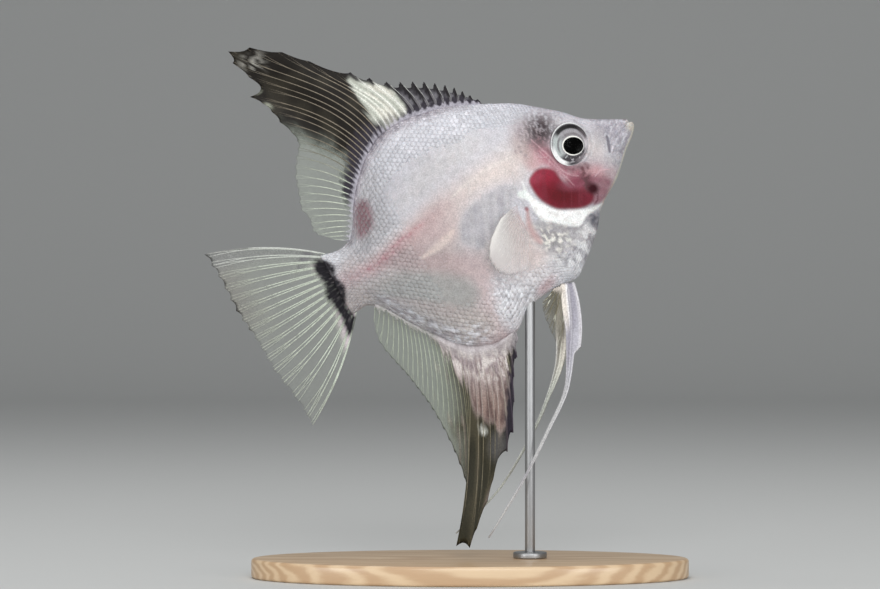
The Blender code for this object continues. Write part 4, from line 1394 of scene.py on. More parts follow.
# %% Outlines of the middle fins
DORSAL_SPINES, DORSAL_RAYS = 12, 28
DORSAL_SPINE_TIPS = [(0, (22.5, 17.1)), (3, (25.2, 20.9)), (6, (29.5, 24.35)), (9, (35.4, 27.5)),
                     (11, (40.3, 32.1))]
DORSAL_TIPS = [
    (0, (42.4, 33.3)), (2, (49.3, 40.9)), (3, (54, 44.4)), (4, (57.7, 45.6)), (5, (58, 43.4)),
    (6, (56.6, 39.8)), (7, (55.6, 37.1)), (8, (58.1, 36.6)), (9, (56.7, 34.6)), (10, (55.9, 32.4)),
    (11, (55.5, 30.1)), (12, (54.5, 27.4)), (13, (54.3, 25.6)), (15, (55.9, 23.2)), (17, (57.7, 20.2)),
    (19, (58.6, 17.2)), (21, (59.5, 14.4)), (22, (58.9, 12.7)), (24, (59.4, 10.2)), (27, (56.8, 7.1)),
]
ANAL_SPINES, ANAL_RAYS = 6, 28
ANAL_SPINE_TIPS = [(0, (36.3, -24.2)), (1, (37.9, -26.8)), (2, (40, -29.6)), (3, (42.1, -33.6)),
                   (4, (44.8, -38.3)), (5, (47.3, -40.8))]
ANAL_TIPS = [
    (0, (49.3, -41.2)), (2, (54.5, -47)), (3, (58.5, -50.4)), (4, (61.2, -52.8)), (5, (63.2, -51.4)),
    (6, (61, -49.4)), (7, (58.6, -46.2)), (8, (56.9, -43.8)), (9, (56.2, -41.2)), (11, (55.6, -36.4)),
    (13, (55.4, -31.8)), (15, (55.5, -27.9)), (17, (55.9, -24.8)), (20, (56.6, -20.4)), (23, (57.6, -16.4)),
    (25, (58.2, -12.9)), (27, (57.3, -9)),
]
TAIL_RAYS = 16
TAIL_TIPS = [
    (0, (78.4, 15.5)), (2, (78, 10.8)), (5, (78.1, 4)), (8, (77.5, -2)), (11, (77.3, -8.5)),
    (13, (76.2, -14.5)), (14, (75.8, -18.4)), (15, (75.9, -20.5)),
]
dorsal_sheet = spiny(
    BACK, [((22.1, 36.2), DORSAL_SPINE_TIPS, DORSAL_SPINES), ((37.4, 54.6), DORSAL_TIPS, DORSAL_RAYS)],
    [(0, 0.03, 0), (11, 0.05, 1), (12, 0.055, 1.6), (15, 0.06, 1.2), (19, 0.09, 0.2), (25, 0.08, 0),
     (32, 0.055, 0), (39, 0.02, 0)], 0.32)
anal_sheet = spiny(
    BELLY, [((36, 40.5), ANAL_SPINE_TIPS, ANAL_SPINES), ((41.3, 56), ANAL_TIPS, ANAL_RAYS)],
    [(0, -0.04, 0), (33, -0.04, 0)], 0.28)
tail_roots = [(BODY_LENGTH - 0.9, v) for v in np.linspace(5.55, -6.25, TAIL_RAYS)]
tail_bows = [(0, 0.055, 0), (3, 0.02, 0), (9, -0.02, 0), (15, -0.05, 0)]
tail_sheet = Sheet(tail_roots, tips_at(TAIL_TIPS, TAIL_RAYS), tail_bows, 0.35, swing=-1.5)
print("rays in the three middle fins:", dorsal_sheet.last + 1, anal_sheet.last + 1, tail_sheet.last + 1)

# %% [markdown]
# Membranes. Between spines the web is cut back like the teeth of a saw, and between soft rays it
# is barely notched. Its two faces meet at the edge and part at the root, where the fin's flesh
# flows into the body, so the grid goes up one side and down the other.

# %% Membranes
WEB_HALF = 0.03  # half the membrane's thickness
RIM_SHARE = 1e-6  # nearer than this to its edge, the membrane's two faces meet
SPINE_FREE = 1.2  # how much of a spine's tip stands clear of it
FLARE = (0.3, 1)  # how much thicker it is where it leaves the body, and over what height


def web_reach(sheet, s, spines):
    """How far along its ray the membrane goes at s."""
    scallop = 1 - 0.022 * np.sin(math.pi * (s % 1.0))
    if spines == 0:
        return scallop
    notch = np.minimum(SPINE_FREE / np.linalg.norm(sheet.span(s)[1], axis=-1), 0.3)
    saw = 0.98 - notch * fade(0.04, 0.5, s % 1.0)
    return mix(saw, scallop, fade(spines - 1.5, spines - 0.5, s))


def make_membrane(name, sheet, spines, replaces, slot, finish, paint, per_ray=5, rows=34, flare=FLARE):
    def split(i, j):
        s, fold = i * sheet.last, np.abs(2 * j - 1)
        face = np.where(j < 0.5, 1.0, -1.0) * (fold > RIM_SHARE)
        return s, (1 - fold) * web_reach(sheet, s, spines), face

    def place(i, j):
        s, t, face = split(i, j)
        spot = sheet.place(s, t)
        root = sheet.place(s, np.zeros_like(s))
        away = np.hypot(spot[..., 0] - root[..., 0], spot[..., 2] - root[..., 2])
        half = WEB_HALF + flare[0] * np.exp(-(away / flare[1]) ** 2)
        inner = (i > RIM_SHARE) & (i < 1 - RIM_SHARE) & (t > RIM_SHARE)
        spot[..., 1] += face * half * inner
        return spot

    mesh, points, i, j = grid_mesh(name, sheet.last * per_ray, rows * 2, place)
    s, t, _ = split(i, j)
    set_colours(mesh, paint(points[:, 0], points[:, 2], s, t, False))
    closed(mesh)
    return finish_piece(mesh, finish, replaces, slot)


# %% [markdown]
# Rays. A spine is one stiff taper. A soft ray is a thinner rod that forks on its way to the
# edge, and in the tail they come in pairs. All are copies of one slim tube, laid along a path
# in s and t.

# %% Rays
TUBE_SIDES, TUBE_STEPS = 6, 14


def tube_template():
    """A tube with z from 0 to 1 along it, and its ends closed."""
    bm = bmesh.new()
    bmesh.ops.create_cone(bm, cap_ends=True, segments=TUBE_SIDES, radius1=1, radius2=1, depth=1)
    sides = [edge for edge in bm.edges if abs(edge.verts[0].co.z - edge.verts[1].co.z) > 0.5]
    bmesh.ops.subdivide_edges(bm, edges=sides, cuts=TUBE_STEPS - 1, use_grid_fill=True)
    bmesh.ops.translate(bm, verts=bm.verts, vec=(0, 0, 0.5))
    return template_arrays(bm)


tube_points, tube_faces = tube_template()


def make_rays(name, sheet, paths, slot, finish, paint):
    """paths: rows of s at the start, s at the end, t at the start, t at the end, two radii."""
    s0, s1, t0, t1, r0, r1 = (np.array(paths)[:, k, None] for k in range(6))
    x, y, z = tube_points.T[:, None]

    def middle(z):
        return sheet.place(mix(s0, s1, fade(0, 1, z)), mix(t0, t1, z))

    step = 0.01
    centre = middle(z)
    run = unit(middle(np.clip(z + step, 0, 1)) - middle(np.clip(z - step, 0, 1)))
    across = unit(np.stack([-run[..., 2], np.zeros_like(run[..., 0]), run[..., 0]], -1))
    outward = np.cross(run, across)
    points = centre + (across * x[..., None] + outward * y[..., None]) * mix(r0, r1, z)[..., None]
    mesh = copies_mesh(name, tube_faces, points)
    u, _, v = np.moveaxis(centre, -1, 0)
    places = (u, v, mix(s0, s1, fade(0, 1, z)), mix(t0, t1, z))
    set_colours(mesh, paint(*(part.ravel() for part in places), True))
    return finish_piece(mesh, finish, [], slot)


def spine_paths(count, radius):
    """Each spine is a stiff taper; a slim pale line in the web just ahead of it is its painted highlight."""
    paths = []
    for k in range(count):
        paths.append((k, k, 0, 1.0, radius, radius * 0.5))
        if k > 0:
            paths.append((k - 0.16, k - 0.1, 0, 0.9, 0.1, 0.07))
    return paths


def forked_paths(first, count, fork, radius, spread=0.2):
    """Soft rays: a trunk to the fork, then two thinner branches."""
    paths = []
    for k in range(first, first + count):
        thin = radius * 0.62
        paths.append((k, k, 0, fork + 0.02, radius, thin))
        for way in (-1, 1):
            paths.append((k, max(k + way * spread, 0), fork, 0.985, thin * 0.8, thin * 0.35))
    return paths


def paired_paths(count, radius):
    """Tail rays: each is a close pair of rods, and every rod forks near its tip."""
    paths = []
    for k in range(count):
        for way in (-1, 1):
            end = k + way * 0.13
            paths.append((k + way * 0.07, end, 0, 0.64, radius, radius * 0.75))
            for small in (-1, 1):
                paths.append((end, end + small * 0.12, 0.63, 0.985, radius * 0.6, radius * 0.35))
    return [(max(s0, 0), max(s1, 0), *rest) for s0, s1, *rest in paths]


# %% [markdown]
# A fin is a thin wet film. The fourth number of its paint is how much it hides what lies behind.

# %% Finishes of the fins
def fin_finish(name, roughness, gloss, grain=0.5):
    """Its opacity is painted, and a fine grain breaks it up."""
    finish = Finish(name)
    colour, opacity, flecks = finish.painted(0.25, 0.25, 0.75, grain, 0.97 - grain / 2)
    return finish.principled({
        "Coat Roughness": 0.1, "Specular IOR Level": gloss, "Base Color": colour,
        "Roughness": roughness, "Alpha": opacity, "Normal": finish.bump(flecks, 0.3, 0.03),
    })


WEB = fin_finish("fin_membrane", 0.45, 0.12)
RAY = fin_finish("fin_ray", 0.5, 0.2)
SOFT_WEB = fin_finish("clear_fin_membrane", 0.5, 0.1, grain=0.08)


def make_fin(names, sheet, spines, paths, replaces, slot, paint, web=WEB, **shape):
    """A whole fin: its membrane and, over it, its rays."""
    make_membrane(names[0], sheet, spines, replaces, slot, web, paint, **shape)
    make_rays(names[1], sheet, paths, slot, RAY, paint)


print("finishes of the fins:", WEB.name, RAY.name, SOFT_WEB.name)

# %% [markdown]
# The dorsal fin is sooty with thin pale rays, behind a cream patch and black-tipped spines; its
# rear third is clear.

# %% Dorsal fin
DORSAL_CREAM = [
    (40.8, 31.4), (38.2, 28.7), (35.9, 26.9), (34.7, 24.2), (34.3, 21), (37, 20), (39.6, 19.3),
    (40.6, 21.4), (40.9, 24.6), (41.2, 28.6),
]
DORSAL_NICKS = [((56.5, 37), (0.6, 0.5)), ((56.2, 33.6), (0.6, 0.6))]


def spiny_terms(sheet, count, s, t):
    """mm out from the body, place between two rays, 1 midway between them, and 1 among the spines."""
    part = s % 1.0
    return sheet.height(s, t), part, 1 - np.abs(2 * part - 1), fall(count - 1.2, count - 0.2, s)


def dorsal_paint(u, v, s, t, ray):
    speck = noise(u / 0.5, v / 0.5, seed=21)
    broad = noise(u / 3, v / 3, seed=22)
    scratch = noise((u + v) / 0.4, (v - u) / 1.8, seed=23)
    along = noise(s * 1.6, t * 6, seed=24)
    out, part, between, spines = spiny_terms(dorsal_sheet, DORSAL_SPINES, s, t)
    soft = s - DORSAL_SPINES
    dark = fall(10.0, 15.0, soft + 2.0 * (broad - 0.5) + 0.8 * (speck - 0.5))
    worn = blot(u, v, (55.2, 41.6), (2.5, 1.9), tilt=40, soft=0.8) * fade(0.6, 0.76, scratch)
    nicks = np.maximum(*(blot(u, v, *nick, soft=0.7) for nick in DORSAL_NICKS))
    cream = fade(0.25, 0.75, patch(u, v, DORSAL_CREAM, 1.1) + 0.5 * (along - 0.5) - 0.3 * fall(0.8, 2.6, out))
    foot = np.interp(s, [0, 10, 14, 20, 28, 33, 39], [0.9, 1.2, 1.7, 3.2, 2.4, 0.6, 0.3])
    base = fall(foot * 0.6, foot * 1.3, out + 1.2 * (speck - 0.5) - 0.8 * between)
    fringe = fall(-0.25, 0.25, out - 0.9 * (1 - between) + 0.7 * (speck - 0.5))
    if ray:
        # The pale line just ahead of each spine is a painted highlight on its front edge.
        highlight_seam = spines * fade(0.8, 0.84, part)
        return painter((0.58, 0.63, 0.52, 0.9), [
            ((0.42, 0.46, 0.39, 0.85), fade(0.5, 1.0, t)),
            ((0.12, 0.1, 0.07, 1), fall(13.0, 17.5, soft)),
            ((0.25, 0.215, 0.165, 1), dark * (0.6 + 0.4 * speck)),
            ((0.14, 0.133, 0.145, 1), spines),
            ((0.018, 0.016, 0.018, 1), spines * fade(0.35, 0.6, t + 0.3 * (speck - 0.5))),
            ((0.78, 0.78, 0.72, 1), cream),
            ((0.36, 0.35, 0.31, 1), np.maximum(worn, nicks)),
            ((0.5, 0.51, 0.48, 1), highlight_seam * (0.3 + 0.6 * np.maximum(cream, fade(0.35, 0.7, t)))),
            ((0.33, 0.31, 0.36, 1), fall(0.4, 1.8, out) * (1 - spines) * 0.8),
        ])
    bar = spines * fade(0.25, 0.7, part + 0.5 * (speck - 0.5)) * fall(0.5, 0.85, t)
    toothed = spines * fade(0.8, 0.88, t / web_reach(dorsal_sheet, s, DORSAL_SPINES))
    return painter((0.36, 0.4, 0.34, 0.14), [
        ((0.36, 0.39, 0.34, 0.24), fade(0.55, 1, t) * fade(13, 18, soft)),
        ((0.009, 0.007, 0.005, 0.985), dark),
        ((0.03, 0.026, 0.018, 0.98), dark * fade(0.45, 0.8, broad) * 0.7),
        ((0.012, 0.01, 0.013, 0.98), spines),
        ((0.145, 0.14, 0.155, 0.97), bar),
        ((0.56, 0.59, 0.52, 0.98), cream),
        ((0.74, 0.72, 0.64, 0.98), cream * fade(0.4, 0.7, along) * fall(38.5, 41, u) * 0.9),
        ((0.3, 0.29, 0.25, 0.98), cream * fade(0.55, 0.85, between) * (0.35 + 0.4 * speck)),
        ((0.02, 0.018, 0.02, 0.97), toothed * fall(0.3, 0.5, part)),
        ((0.31, 0.3, 0.27, 0.95), worn * 0.85),
        ((0.5, 0.52, 0.42, 0.8), nicks),
        ((0.028, 0.024, 0.034, 0.97), base * fall(30, 34, s) * (1 - 0.5 * cream)),
        ((0.47, 0.45, 0.51, 1), fringe * (0.55 + 0.45 * speck)),
    ])


make_fin(("dorsal_web", "dorsal_rays"), dorsal_sheet, DORSAL_SPINES,
         spine_paths(DORSAL_SPINES, 0.24)
         + forked_paths(DORSAL_SPINES, DORSAL_RAYS, 0.66, 0.12, spread=0.16),
         ["dorsal_fin"], "dark_fin", dorsal_paint, flare=(0.5, 0.9))

# %% [markdown]
# The anal fin mirrors the dorsal fin, with a pinkish, scaly root.

# %% Anal fin
ANAL_PALE = [
    (49.5, -16.5), (48.6, -20), (48.6, -24), (47.9, -27.6), (48.4, -32), (46.7, -36.5), (44.6, -36.4),
    (43.2, -33.9), (41.2, -30.5), (39.2, -26.5), (36.5, -22), (41, -21.5), (46, -18.5),
]


def anal_paint(u, v, s, t, ray):
    speck = noise(u / 0.45, v / 0.6, seed=31)
    broad = noise(u / 3, v / 3, seed=32)
    along = noise(s * 1.7, t * 5, seed=33)
    out, part, between, spines = spiny_terms(anal_sheet, ANAL_SPINES, s, t)
    dark = fall(11, 18, s + 2.5 * (broad - 0.5) + 1.5 * (speck - 0.5))
    pale = fade(0.2, 0.8, patch(u, v, ANAL_PALE, 1.6) + 0.8 * (along - 0.5))
    lower = fade(-22, -34, v - 0.25 * (u - 43))
    streak = noise(s * 2.7, t * 9, seed=34)
    edge = (u - 36.3) * 0.834 + (v + 24.2) * 0.553  # mm in from the spines' tips
    rim = fall(0.5, 1.5, edge + 0.8 * (speck - 0.5))
    fleck = blot(u, v, (49.3, -35.4), (0.8, 0.5), tilt=-60) * fade(0.2, 0.5, speck)
    front = blot(u, v, (48.3, -39.2), (2.6, 1.6), tilt=60, soft=0.6)
    trailing = fade(0.975, 0.99, t) * window(s, 12, 15, 30, 33)
    fleshy = mix(2.2, 0.6, fade(15, 21, s))
    flesh = fall(0.2, fleshy, out + 1.4 * (speck - 0.5) - 0.5 * fleshy * (1 - between))
    scaly = fall(3, 9, out)
    if ray:
        # The pale line just ahead of each spine is a painted highlight on its front edge.
        highlight_seam = spines * fade(0.8, 0.84, part)
        return painter((0.48, 0.53, 0.42, 0.8), [
            ((0.16, 0.15, 0.1, 1), fall(13, 20, s)),
            ((0.2, 0.17, 0.115, 1), dark * (0.4 + 0.6 * along) * fade(-30, -38, v)),
            ((0.54, 0.47, 0.46, 1), pale * (0.5 + 0.5 * along)),
            ((0.22, 0.165, 0.14, 1), pale * lower * (0.3 + 0.7 * streak)),
            ((0.04, 0.03, 0.045, 1), spines * rim),
            ((0.66, 0.67, 0.62, 1), fleck),
            ((0.03, 0.03, 0.03, 1), trailing * 0.8),
            ((0.4, 0.37, 0.39, 1), highlight_seam * (1 - rim) * 0.6),
            ((0.5, 0.46, 0.48, 1), flesh * 0.8),
        ])
    return painter((0.3, 0.35, 0.27, 0.14), [
        ((0.1, 0.1, 0.07, 0.5), fall(14, 22, s)),
        ((0.026, 0.024, 0.014, 0.96), dark),
        ((0.075, 0.065, 0.04, 0.96), dark * fade(0.4, 0.8, along) * 0.7),
        ((0.49, 0.42, 0.41, 1), pale),
        ((0.22, 0.15, 0.125, 1), pale * lower * 0.9),
        ((0.11, 0.07, 0.065, 1), pale * fade(0.5, 0.72, streak + 0.15 * between) * (0.35 + 0.6 * lower)),
        ((0.66, 0.62, 0.6, 1), scaly * pale * fade(0.5, 0.65, speck) * 0.8),
        ((0.24, 0.2, 0.215, 1), scaly * pale * fall(0.35, 0.5, speck) * 0.7),
        ((0.018, 0.014, 0.022, 0.97), spines * rim),
        ((0.09, 0.088, 0.09, 0.96), front * 0.7),
        ((0.66, 0.67, 0.62, 1), fleck),
        ((0.015, 0.015, 0.015, 0.9), trailing),
        ((0.5, 0.465, 0.48, 1), flesh * (0.45 + 0.55 * speck)),
    ])


make_fin(("anal_web", "anal_rays"), anal_sheet, ANAL_SPINES,
         spine_paths(ANAL_SPINES, 0.26) + forked_paths(ANAL_SPINES, ANAL_RAYS, 0.62, 0.11, spread=0.16),
         ["anal_fin"], "dark_fin", anal_paint, flare=(1.7, 1.9))

# %% [markdown]
# The tail is clear, with a ragged black bar at its root.

# %% Tail fin
TAIL_BAR = [
    (61.3, 5.4), (59, 3.4), (59.5, 1), (59, -1.2), (60.2, -4.4), (60, -7.2), (62.5, -9.4), (62.1, -6),
    (62.4, -3.6), (62.7, -1.2), (62, 1.2), (62.4, 3.6),
]


def tail_paint(u, v, s, t, ray):
    speck = noise(u / 0.4, v / 0.4, seed=41)
    bar = np.clip(patch(u, v, TAIL_BAR, 0.6) * (0.75 + 0.9 * speck), 0, 1)
    top = fall(0.8, 2.4, s)
    tips = fade(0.965, 0.99, t) * fall(6, 8, s) * fade(0.35, 0.6, noise(s * 2.3, t * 3, seed=42))
    dusky = fade(0.55, 1, t) * fall(5, 10, s)
    stalk = fall(60.6, 62.4, u - 0.25 * np.abs(v))
    if ray:
        return painter((0.55, 0.6, 0.51, 0.85), [
            ((0.43, 0.46, 0.39, 0.85), fade(0.5, 0.9, t)),
            ((0.36, 0.36, 0.32, 0.85), dusky * 0.7),
            ((0.52, 0.53, 0.51, 1), top * 0.7),
            ((0.03, 0.025, 0.03, 1), tips),
            ((0.012, 0.01, 0.014, 1), bar),
        ])
    return painter((0.38, 0.41, 0.35, 0.1), [
        ((0.26, 0.25, 0.22, 0.34), dusky),
        ((0.24, 0.245, 0.24, 0.6), top * 0.85),
        ((0.02, 0.018, 0.02, 0.95), tips),
        ((0.54, 0.48, 0.5, 1), stalk * fall(4.4, 5.4, v)),
        ((0.15, 0.145, 0.16, 0.9), blot(u, v, (62.8, 6.6), (3.2, 0.9), 30, 0.6) * (0.5 + 0.5 * speck)),
        ((0.009, 0.008, 0.011, 1), bar),
    ])


make_fin(("tail_web", "tail_rays"), tail_sheet, 0, paired_paths(TAIL_RAYS, 0.15), ["tail_fin"],
         "clear_fin", tail_paint, per_ray=8)

# %% [markdown]
# The pectoral fins are clear little fans at the sides, whose rays start close together.

# %% Pectoral fins
PECTORAL_ROOT = ((25, -2.8), (25.4, -7))
PECTORAL_FAN = (math.radians(-12), math.radians(-64))
PECTORAL_LENGTHS = [(0, 4.1), (0.1, 6.4), (0.2, 8.9), (0.35, 11), (0.5, 11.5), (0.65, 11), (0.8, 9.8), (1, 8)]
STAND_OFF = math.radians(15)
PECTORAL_RAYS = 14


def flank_at(u, v):
    """How far the body's side is from its middle plane, at a place in side view."""
    back, belly, level = smooth(BACK, u), smooth(BELLY, u), smooth(WIDEST_LEVEL, u)
    power = 2.0 / smooth(ROUNDNESS, u)
    reach = np.where(v > level, back - level, level - belly)
    up = np.clip(np.abs(v - level) / reach, 0, 0.999) ** (1 / power)
    return np.sqrt(1 - up**2) ** power * smooth(HALF_WIDTH, u)


class Fan:
    """The pectoral fin's sheet: rays spread from a short root and stand off the flank."""

    def __init__(self, side):
        self.side, self.last = side, PECTORAL_RAYS - 1

    def place(self, s, t):
        share = s / self.last
        root_u, root_v = (mix(start, end, share) for start, end in zip(*PECTORAL_ROOT))
        length = smooth(PECTORAL_LENGTHS, share) * t
        heading = mix(*PECTORAL_FAN, share)
        off = STAND_OFF * (0.3 + 0.7 * fade(0, 0.6, t))
        y = flank_at(root_u, root_v) - 0.25 + length * np.sin(off)
        y = y + 0.12 * np.sin(s * 1.1 + 2.0) * t
        u = root_u + length * np.cos(heading) * np.cos(off)
        v = root_v + length * np.sin(heading) * np.cos(off)
        return np.stack([u, self.side * y, v], -1)


def pectoral_paint(u, v, s, t, ray):
    share = s / (PECTORAL_RAYS - 1)
    root = fall(0.04, 0.16, t)
    milky = fade(0.08, 0.6, t) * (1 - 0.85 * fade(0.35, 0.9, share))
    milky = milky * (1 - 0.45 * fade(0.7, 1.0, t) * fade(0.12, 0.35, share))
    rim = fade(0.55, 0.85, t) * fall(0.12, 0.4, share) * 0.8
    if ray:
        return painter((0.76, 0.7, 0.69, 0.25), [
            ((0.83, 0.81, 0.78, 0.6), milky),
            ((0.62, 0.42, 0.41, 0.7), root),
        ])
    return painter((0.72, 0.66, 0.65, 0.08), [
        ((0.74, 0.71, 0.695, 0.55), milky),
        ((0.86, 0.84, 0.8, 0.8), rim),
        ((0.62, 0.46, 0.45, 0.4), root),
    ])


for side, word in SIDES:
    fan = Fan(side)
    make_fin((f"pectoral_web_{word}", f"pectoral_rays_{word}"), fan, 0,
             forked_paths(0, PECTORAL_RAYS, 0.6, 0.1), [f"pectoral_fin_{word}"], "clear_fin",
             pectoral_paint, SOFT_WEB, per_ray=4, rows=12)

# %% [markdown]
# The pelvic fins are long streamers: a stiff spine and a first soft ray that runs on as a
# thread, with a web between them. One is creamy, the other grey with pale lines.

# %% Streamers
PELVIC_RIGHT = [(23.7, -19.3), (26, -25), (28.8, -30), (33, -36), (39.2, -40.8), (46.5, -46.1), (52.5, -49.8),
                (57.5, -52.8)]
PELVIC_LEFT = [(24.5, -19.2), (27.9, -25.5), (31.6, -31.4), (36.6, -36.1), (41.1, -39.7), (48.8, -44.7),
               (54.6, -47.3), (62.5, -49.6)]
PELVIC_SPREAD = [(0, 0.9), (0.2, 1.9), (0.5, 2.6), (1, 1.6)]


class Streamer:
    """One pelvic fin's sheet: t runs down its long middle line, s across it from front to back."""

    def __init__(self, side, middle, front, back):
        self.side, self.last = side, 3
        self.line, self.front, self.back = rounded(middle, 120), front, back

    def place(self, s, t):
        at = np.linspace(0, 1, len(self.line))
        middle, ahead, before = (np.stack([np.interp(t + step, at, line) for line in self.line.T], -1)
                                 for step in (0, 0.01, -0.01))
        run = unit(ahead - before)
        share = s / self.last * 2 - 1
        reach = np.where(share < 0, smooth(self.front, t), smooth(self.back, t)) * share
        spot = middle + np.stack([-run[..., 1], run[..., 0]], -1) * reach[..., None]
        y = smooth(PELVIC_SPREAD, t) + 0.25 * share * (1 - t) * np.sin(9 * t)
        return np.stack([spot[..., 0], self.side * y, spot[..., 1]], -1)


def pelvic_paint(cream):
    def paint(u, v, s, t, ray):
        share = s / 3
        speck = noise(u / 0.4, v / 0.8, seed=51)
        streak = noise(share * 4.5, t * 7, seed=52)
        top = fall(0.1, 0.24, t)
        if cream:
            return painter((0.76, 0.72, 0.64, 1), [
                ((0.5, 0.52, 0.47, 0.95), fade(0.22, 0.4, t)),
                ((0.2, 0.19, 0.17, 0.95), fade(0.55, 0.75, streak) * fade(0.08, 0.2, t) * 0.7),
                ((0.72, 0.72, 0.7, 1), fade(0.8, 0.95, share) * 0.7),
            ])
        return painter((0.44, 0.43, 0.48, 0.97), [
            ((0.52, 0.52, 0.52, 0.97), fade(0.28, 0.5, t)),
            ((0.25, 0.235, 0.29, 0.95), fade(0.55, 0.8, streak) * 0.55),
            ((0.66, 0.65, 0.67, 1), fall(0.05, 0.22, share) * 0.8),
            ((0.84, 0.82, 0.82, 1), band(share, 0.52, 0.7, 0.06) * top),
            ((0.8, 0.74, 0.66, 1), fade(0.62, 0.75, share) * top * (0.75 + 0.25 * speck)),
            ((0.6, 0.58, 0.59, 1), fade(0.8, 1.0, share) * fade(0.2, 0.35, t) * 0.7),
        ])
    return paint


print("cream paint at the root:", pelvic_paint(True)(*np.zeros((4, 1)), False).round(2).tolist())

# %% [markdown]
# Behind each streamer stands a small fan of short rays, dusky and half clear. Both share a root.

# %% Pelvic fins
SMALL_RAYS, SMALL_ROOT, SMALL_OUT = 5, (24.6, -19.2), 1.0
SMALL_HEADINGS, SMALL_LENGTHS = (-66, -28), (13.2, 3.4)


class SmallFan:
    """The short rays behind a pelvic fin's first ray."""

    def __init__(self, side):
        self.side, self.last = side, SMALL_RAYS - 1

    def place(self, s, t):
        share = s / self.last
        length = mix(*SMALL_LENGTHS, np.sqrt(share)) * t
        heading = np.radians(mix(*SMALL_HEADINGS, share) + 7 * t)
        u = SMALL_ROOT[0] + 1.5 * share + length * np.cos(heading)
        v = SMALL_ROOT[1] + 0.1 * share + length * np.sin(heading)
        y = SMALL_OUT + 0.1 * length + 0.1 * np.sin(3 * s)
        return np.stack([u, self.side * y, v], -1)


def small_fan_paint(u, v, s, t, ray):
    root = fall(0.05, 0.25, t)
    gleam = fade(0.55, 0.7, noise(s * 2.1, t * 7, seed=53))
    if ray:
        return painter((0.2, 0.18, 0.12, 0.9), [
            ((0.7, 0.7, 0.6, 0.9), gleam), ((0.8, 0.74, 0.66, 1), root),
        ])
    return painter((0.17, 0.16, 0.12, 0.3), [
        ((0.66, 0.6, 0.54, 0.9), root), ((0.2, 0.19, 0.15, 0.1), fade(0.6, 1, t)),
    ])


FRONT_REACH = {
    -1: [(0, 1.1), (0.1, 1.7), (0.2, 1.9), (0.27, 1.8), (0.3, 0.75), (0.44, 0.42), (0.7, 0.26), (1, 0.12)],
    1: [(0, 1.0), (0.1, 1.3), (0.2, 1.1), (0.31, 0.7), (0.44, 0.34), (0.7, 0.22), (1, 0.1)],
}
BACK_REACH = [(0, 1.2), (0.1, 1.5), (0.2, 1.1), (0.31, 0.75), (0.44, 0.36), (0.7, 0.22), (1, 0.1)]
THREADS = [(0.12, 0.12, 0, 0.29, 0.28, 0.12), (1.5, 1.5, 0, 0.99, 0.3, 0.13), (2.4, 1.7, 0.02, 0.5, 0.2, 0.1)]
for (side, word), middle in zip(SIDES, (PELVIC_LEFT, PELVIC_RIGHT)):
    streamer = Streamer(side, middle, FRONT_REACH[side], BACK_REACH)
    paint = pelvic_paint(cream=side > 0)
    make_fin((f"pelvic_web_{word}", f"pelvic_rays_{word}"), streamer, 0, THREADS, [f"pelvic_fin_{word}"],
             "pale_fin", paint, rows=70)
    make_fin((f"pelvic_fan_{word}", f"pelvic_fan_rays_{word}"), SmallFan(side), 0,
             forked_paths(0, SMALL_RAYS, 0.5, 0.12), [], "clear_fin", small_fan_paint, per_ray=4, rows=14)

# %% [markdown]
# The stand is plain: an oval plate of varnished maple with a softly rounded edge, and one
# brushed steel rod with a small flange. Both replace their faceted solids with smoother ones of
# the same size. Grain is a stretched noise over growth rings cut lengthwise.

# %% Stand
BASE_LENGTH, BASE_DEPTH, BASE_HEIGHT = 78, 38, 3.5
ROD_FORWARD, ROD_RADIUS, ROD_BOTTOM, ROD_TOP = 10.7, 0.9, 3.0, 50.6  # its ends are let in
FLANGE_RADIUS, FLANGE_TOP = 3.0, 4.6
DARK_MAPLE, PALE_MAPLE = (0.5, 0.33, 0.19, 1), (0.66, 0.49, 0.31, 1)


def wood_finish():
    finish = Finish("varnished_maple")
    warp = finish.noise(finish.coordinates(scale=(0.12, 1, 1)), 4.0, 2.0)
    place = finish.coordinates(scale=(0.25, 1, 1.6))
    rings = Amount(finish, finish.node(
        "ShaderNodeTexWave", {"wave_type": "RINGS", "rings_direction": "X"},
        Vector=place, Scale=150.0, Distortion=7.0, Detail=2.0).outputs["Fac"])
    pores = finish.noise(finish.coordinates(scale=(0.05, 1, 1)), 0.35, 2.0)
    share = rings * 0.45 + warp * 0.35 + pores * 0.25
    colour = finish.colours("MIX", finish.between(0.3, 0.8, share), DARK_MAPLE, PALE_MAPLE)
    return finish.principled({"Coat Weight": 0.35, "Coat Roughness": 0.18, "Base Color": colour,
                              "Roughness": 0.42 + pores * 0.1, "Normal": finish.bump(pores, 0.12, 0.05)})


def steel_finish():
    finish = Finish("brushed_steel")
    brush = finish.noise(finish.coordinates(scale=(1, 1, 0.04)), 0.12, 2.0)
    return finish.principled({"Base Color": (0.34, 0.345, 0.35, 1), "Metallic": 1.0,
                              "Roughness": 0.38 + brush * 0.16, "Normal": finish.bump(brush, 0.1, 0.01)})


def turned(name, radii, bottom, top, middle_x, bevel, sides, finish, replaces, slot):
    """An oval or round disc or rod with softly rounded edges."""
    bm = bmesh.new()
    made = bmesh.ops.create_cone(bm, cap_ends=True, segments=sides, radius1=1, radius2=1, depth=1)
    bmesh.ops.scale(bm, verts=made["verts"], vec=(radii[0] * MM, radii[1] * MM, (top - bottom) * MM))
    bmesh.ops.translate(bm, verts=bm.verts, vec=(middle_x * MM, 0, (top + bottom) / 2 * MM))
    rims = [edge for edge in bm.edges if len(edge.link_faces) == 2 and
            any(len(face.verts) > 4 for face in edge.link_faces)]
    bmesh.ops.bevel(bm, geom=rims, offset=bevel * MM, offset_type="OFFSET", segments=4, profile=0.5,
                    affect="EDGES", material=-1)
    bm.normal_update()
    bmesh.ops.recalc_face_normals(bm, faces=bm.faces)
    return new_piece(mesh_from(name, bm), finish, replaces, slot)


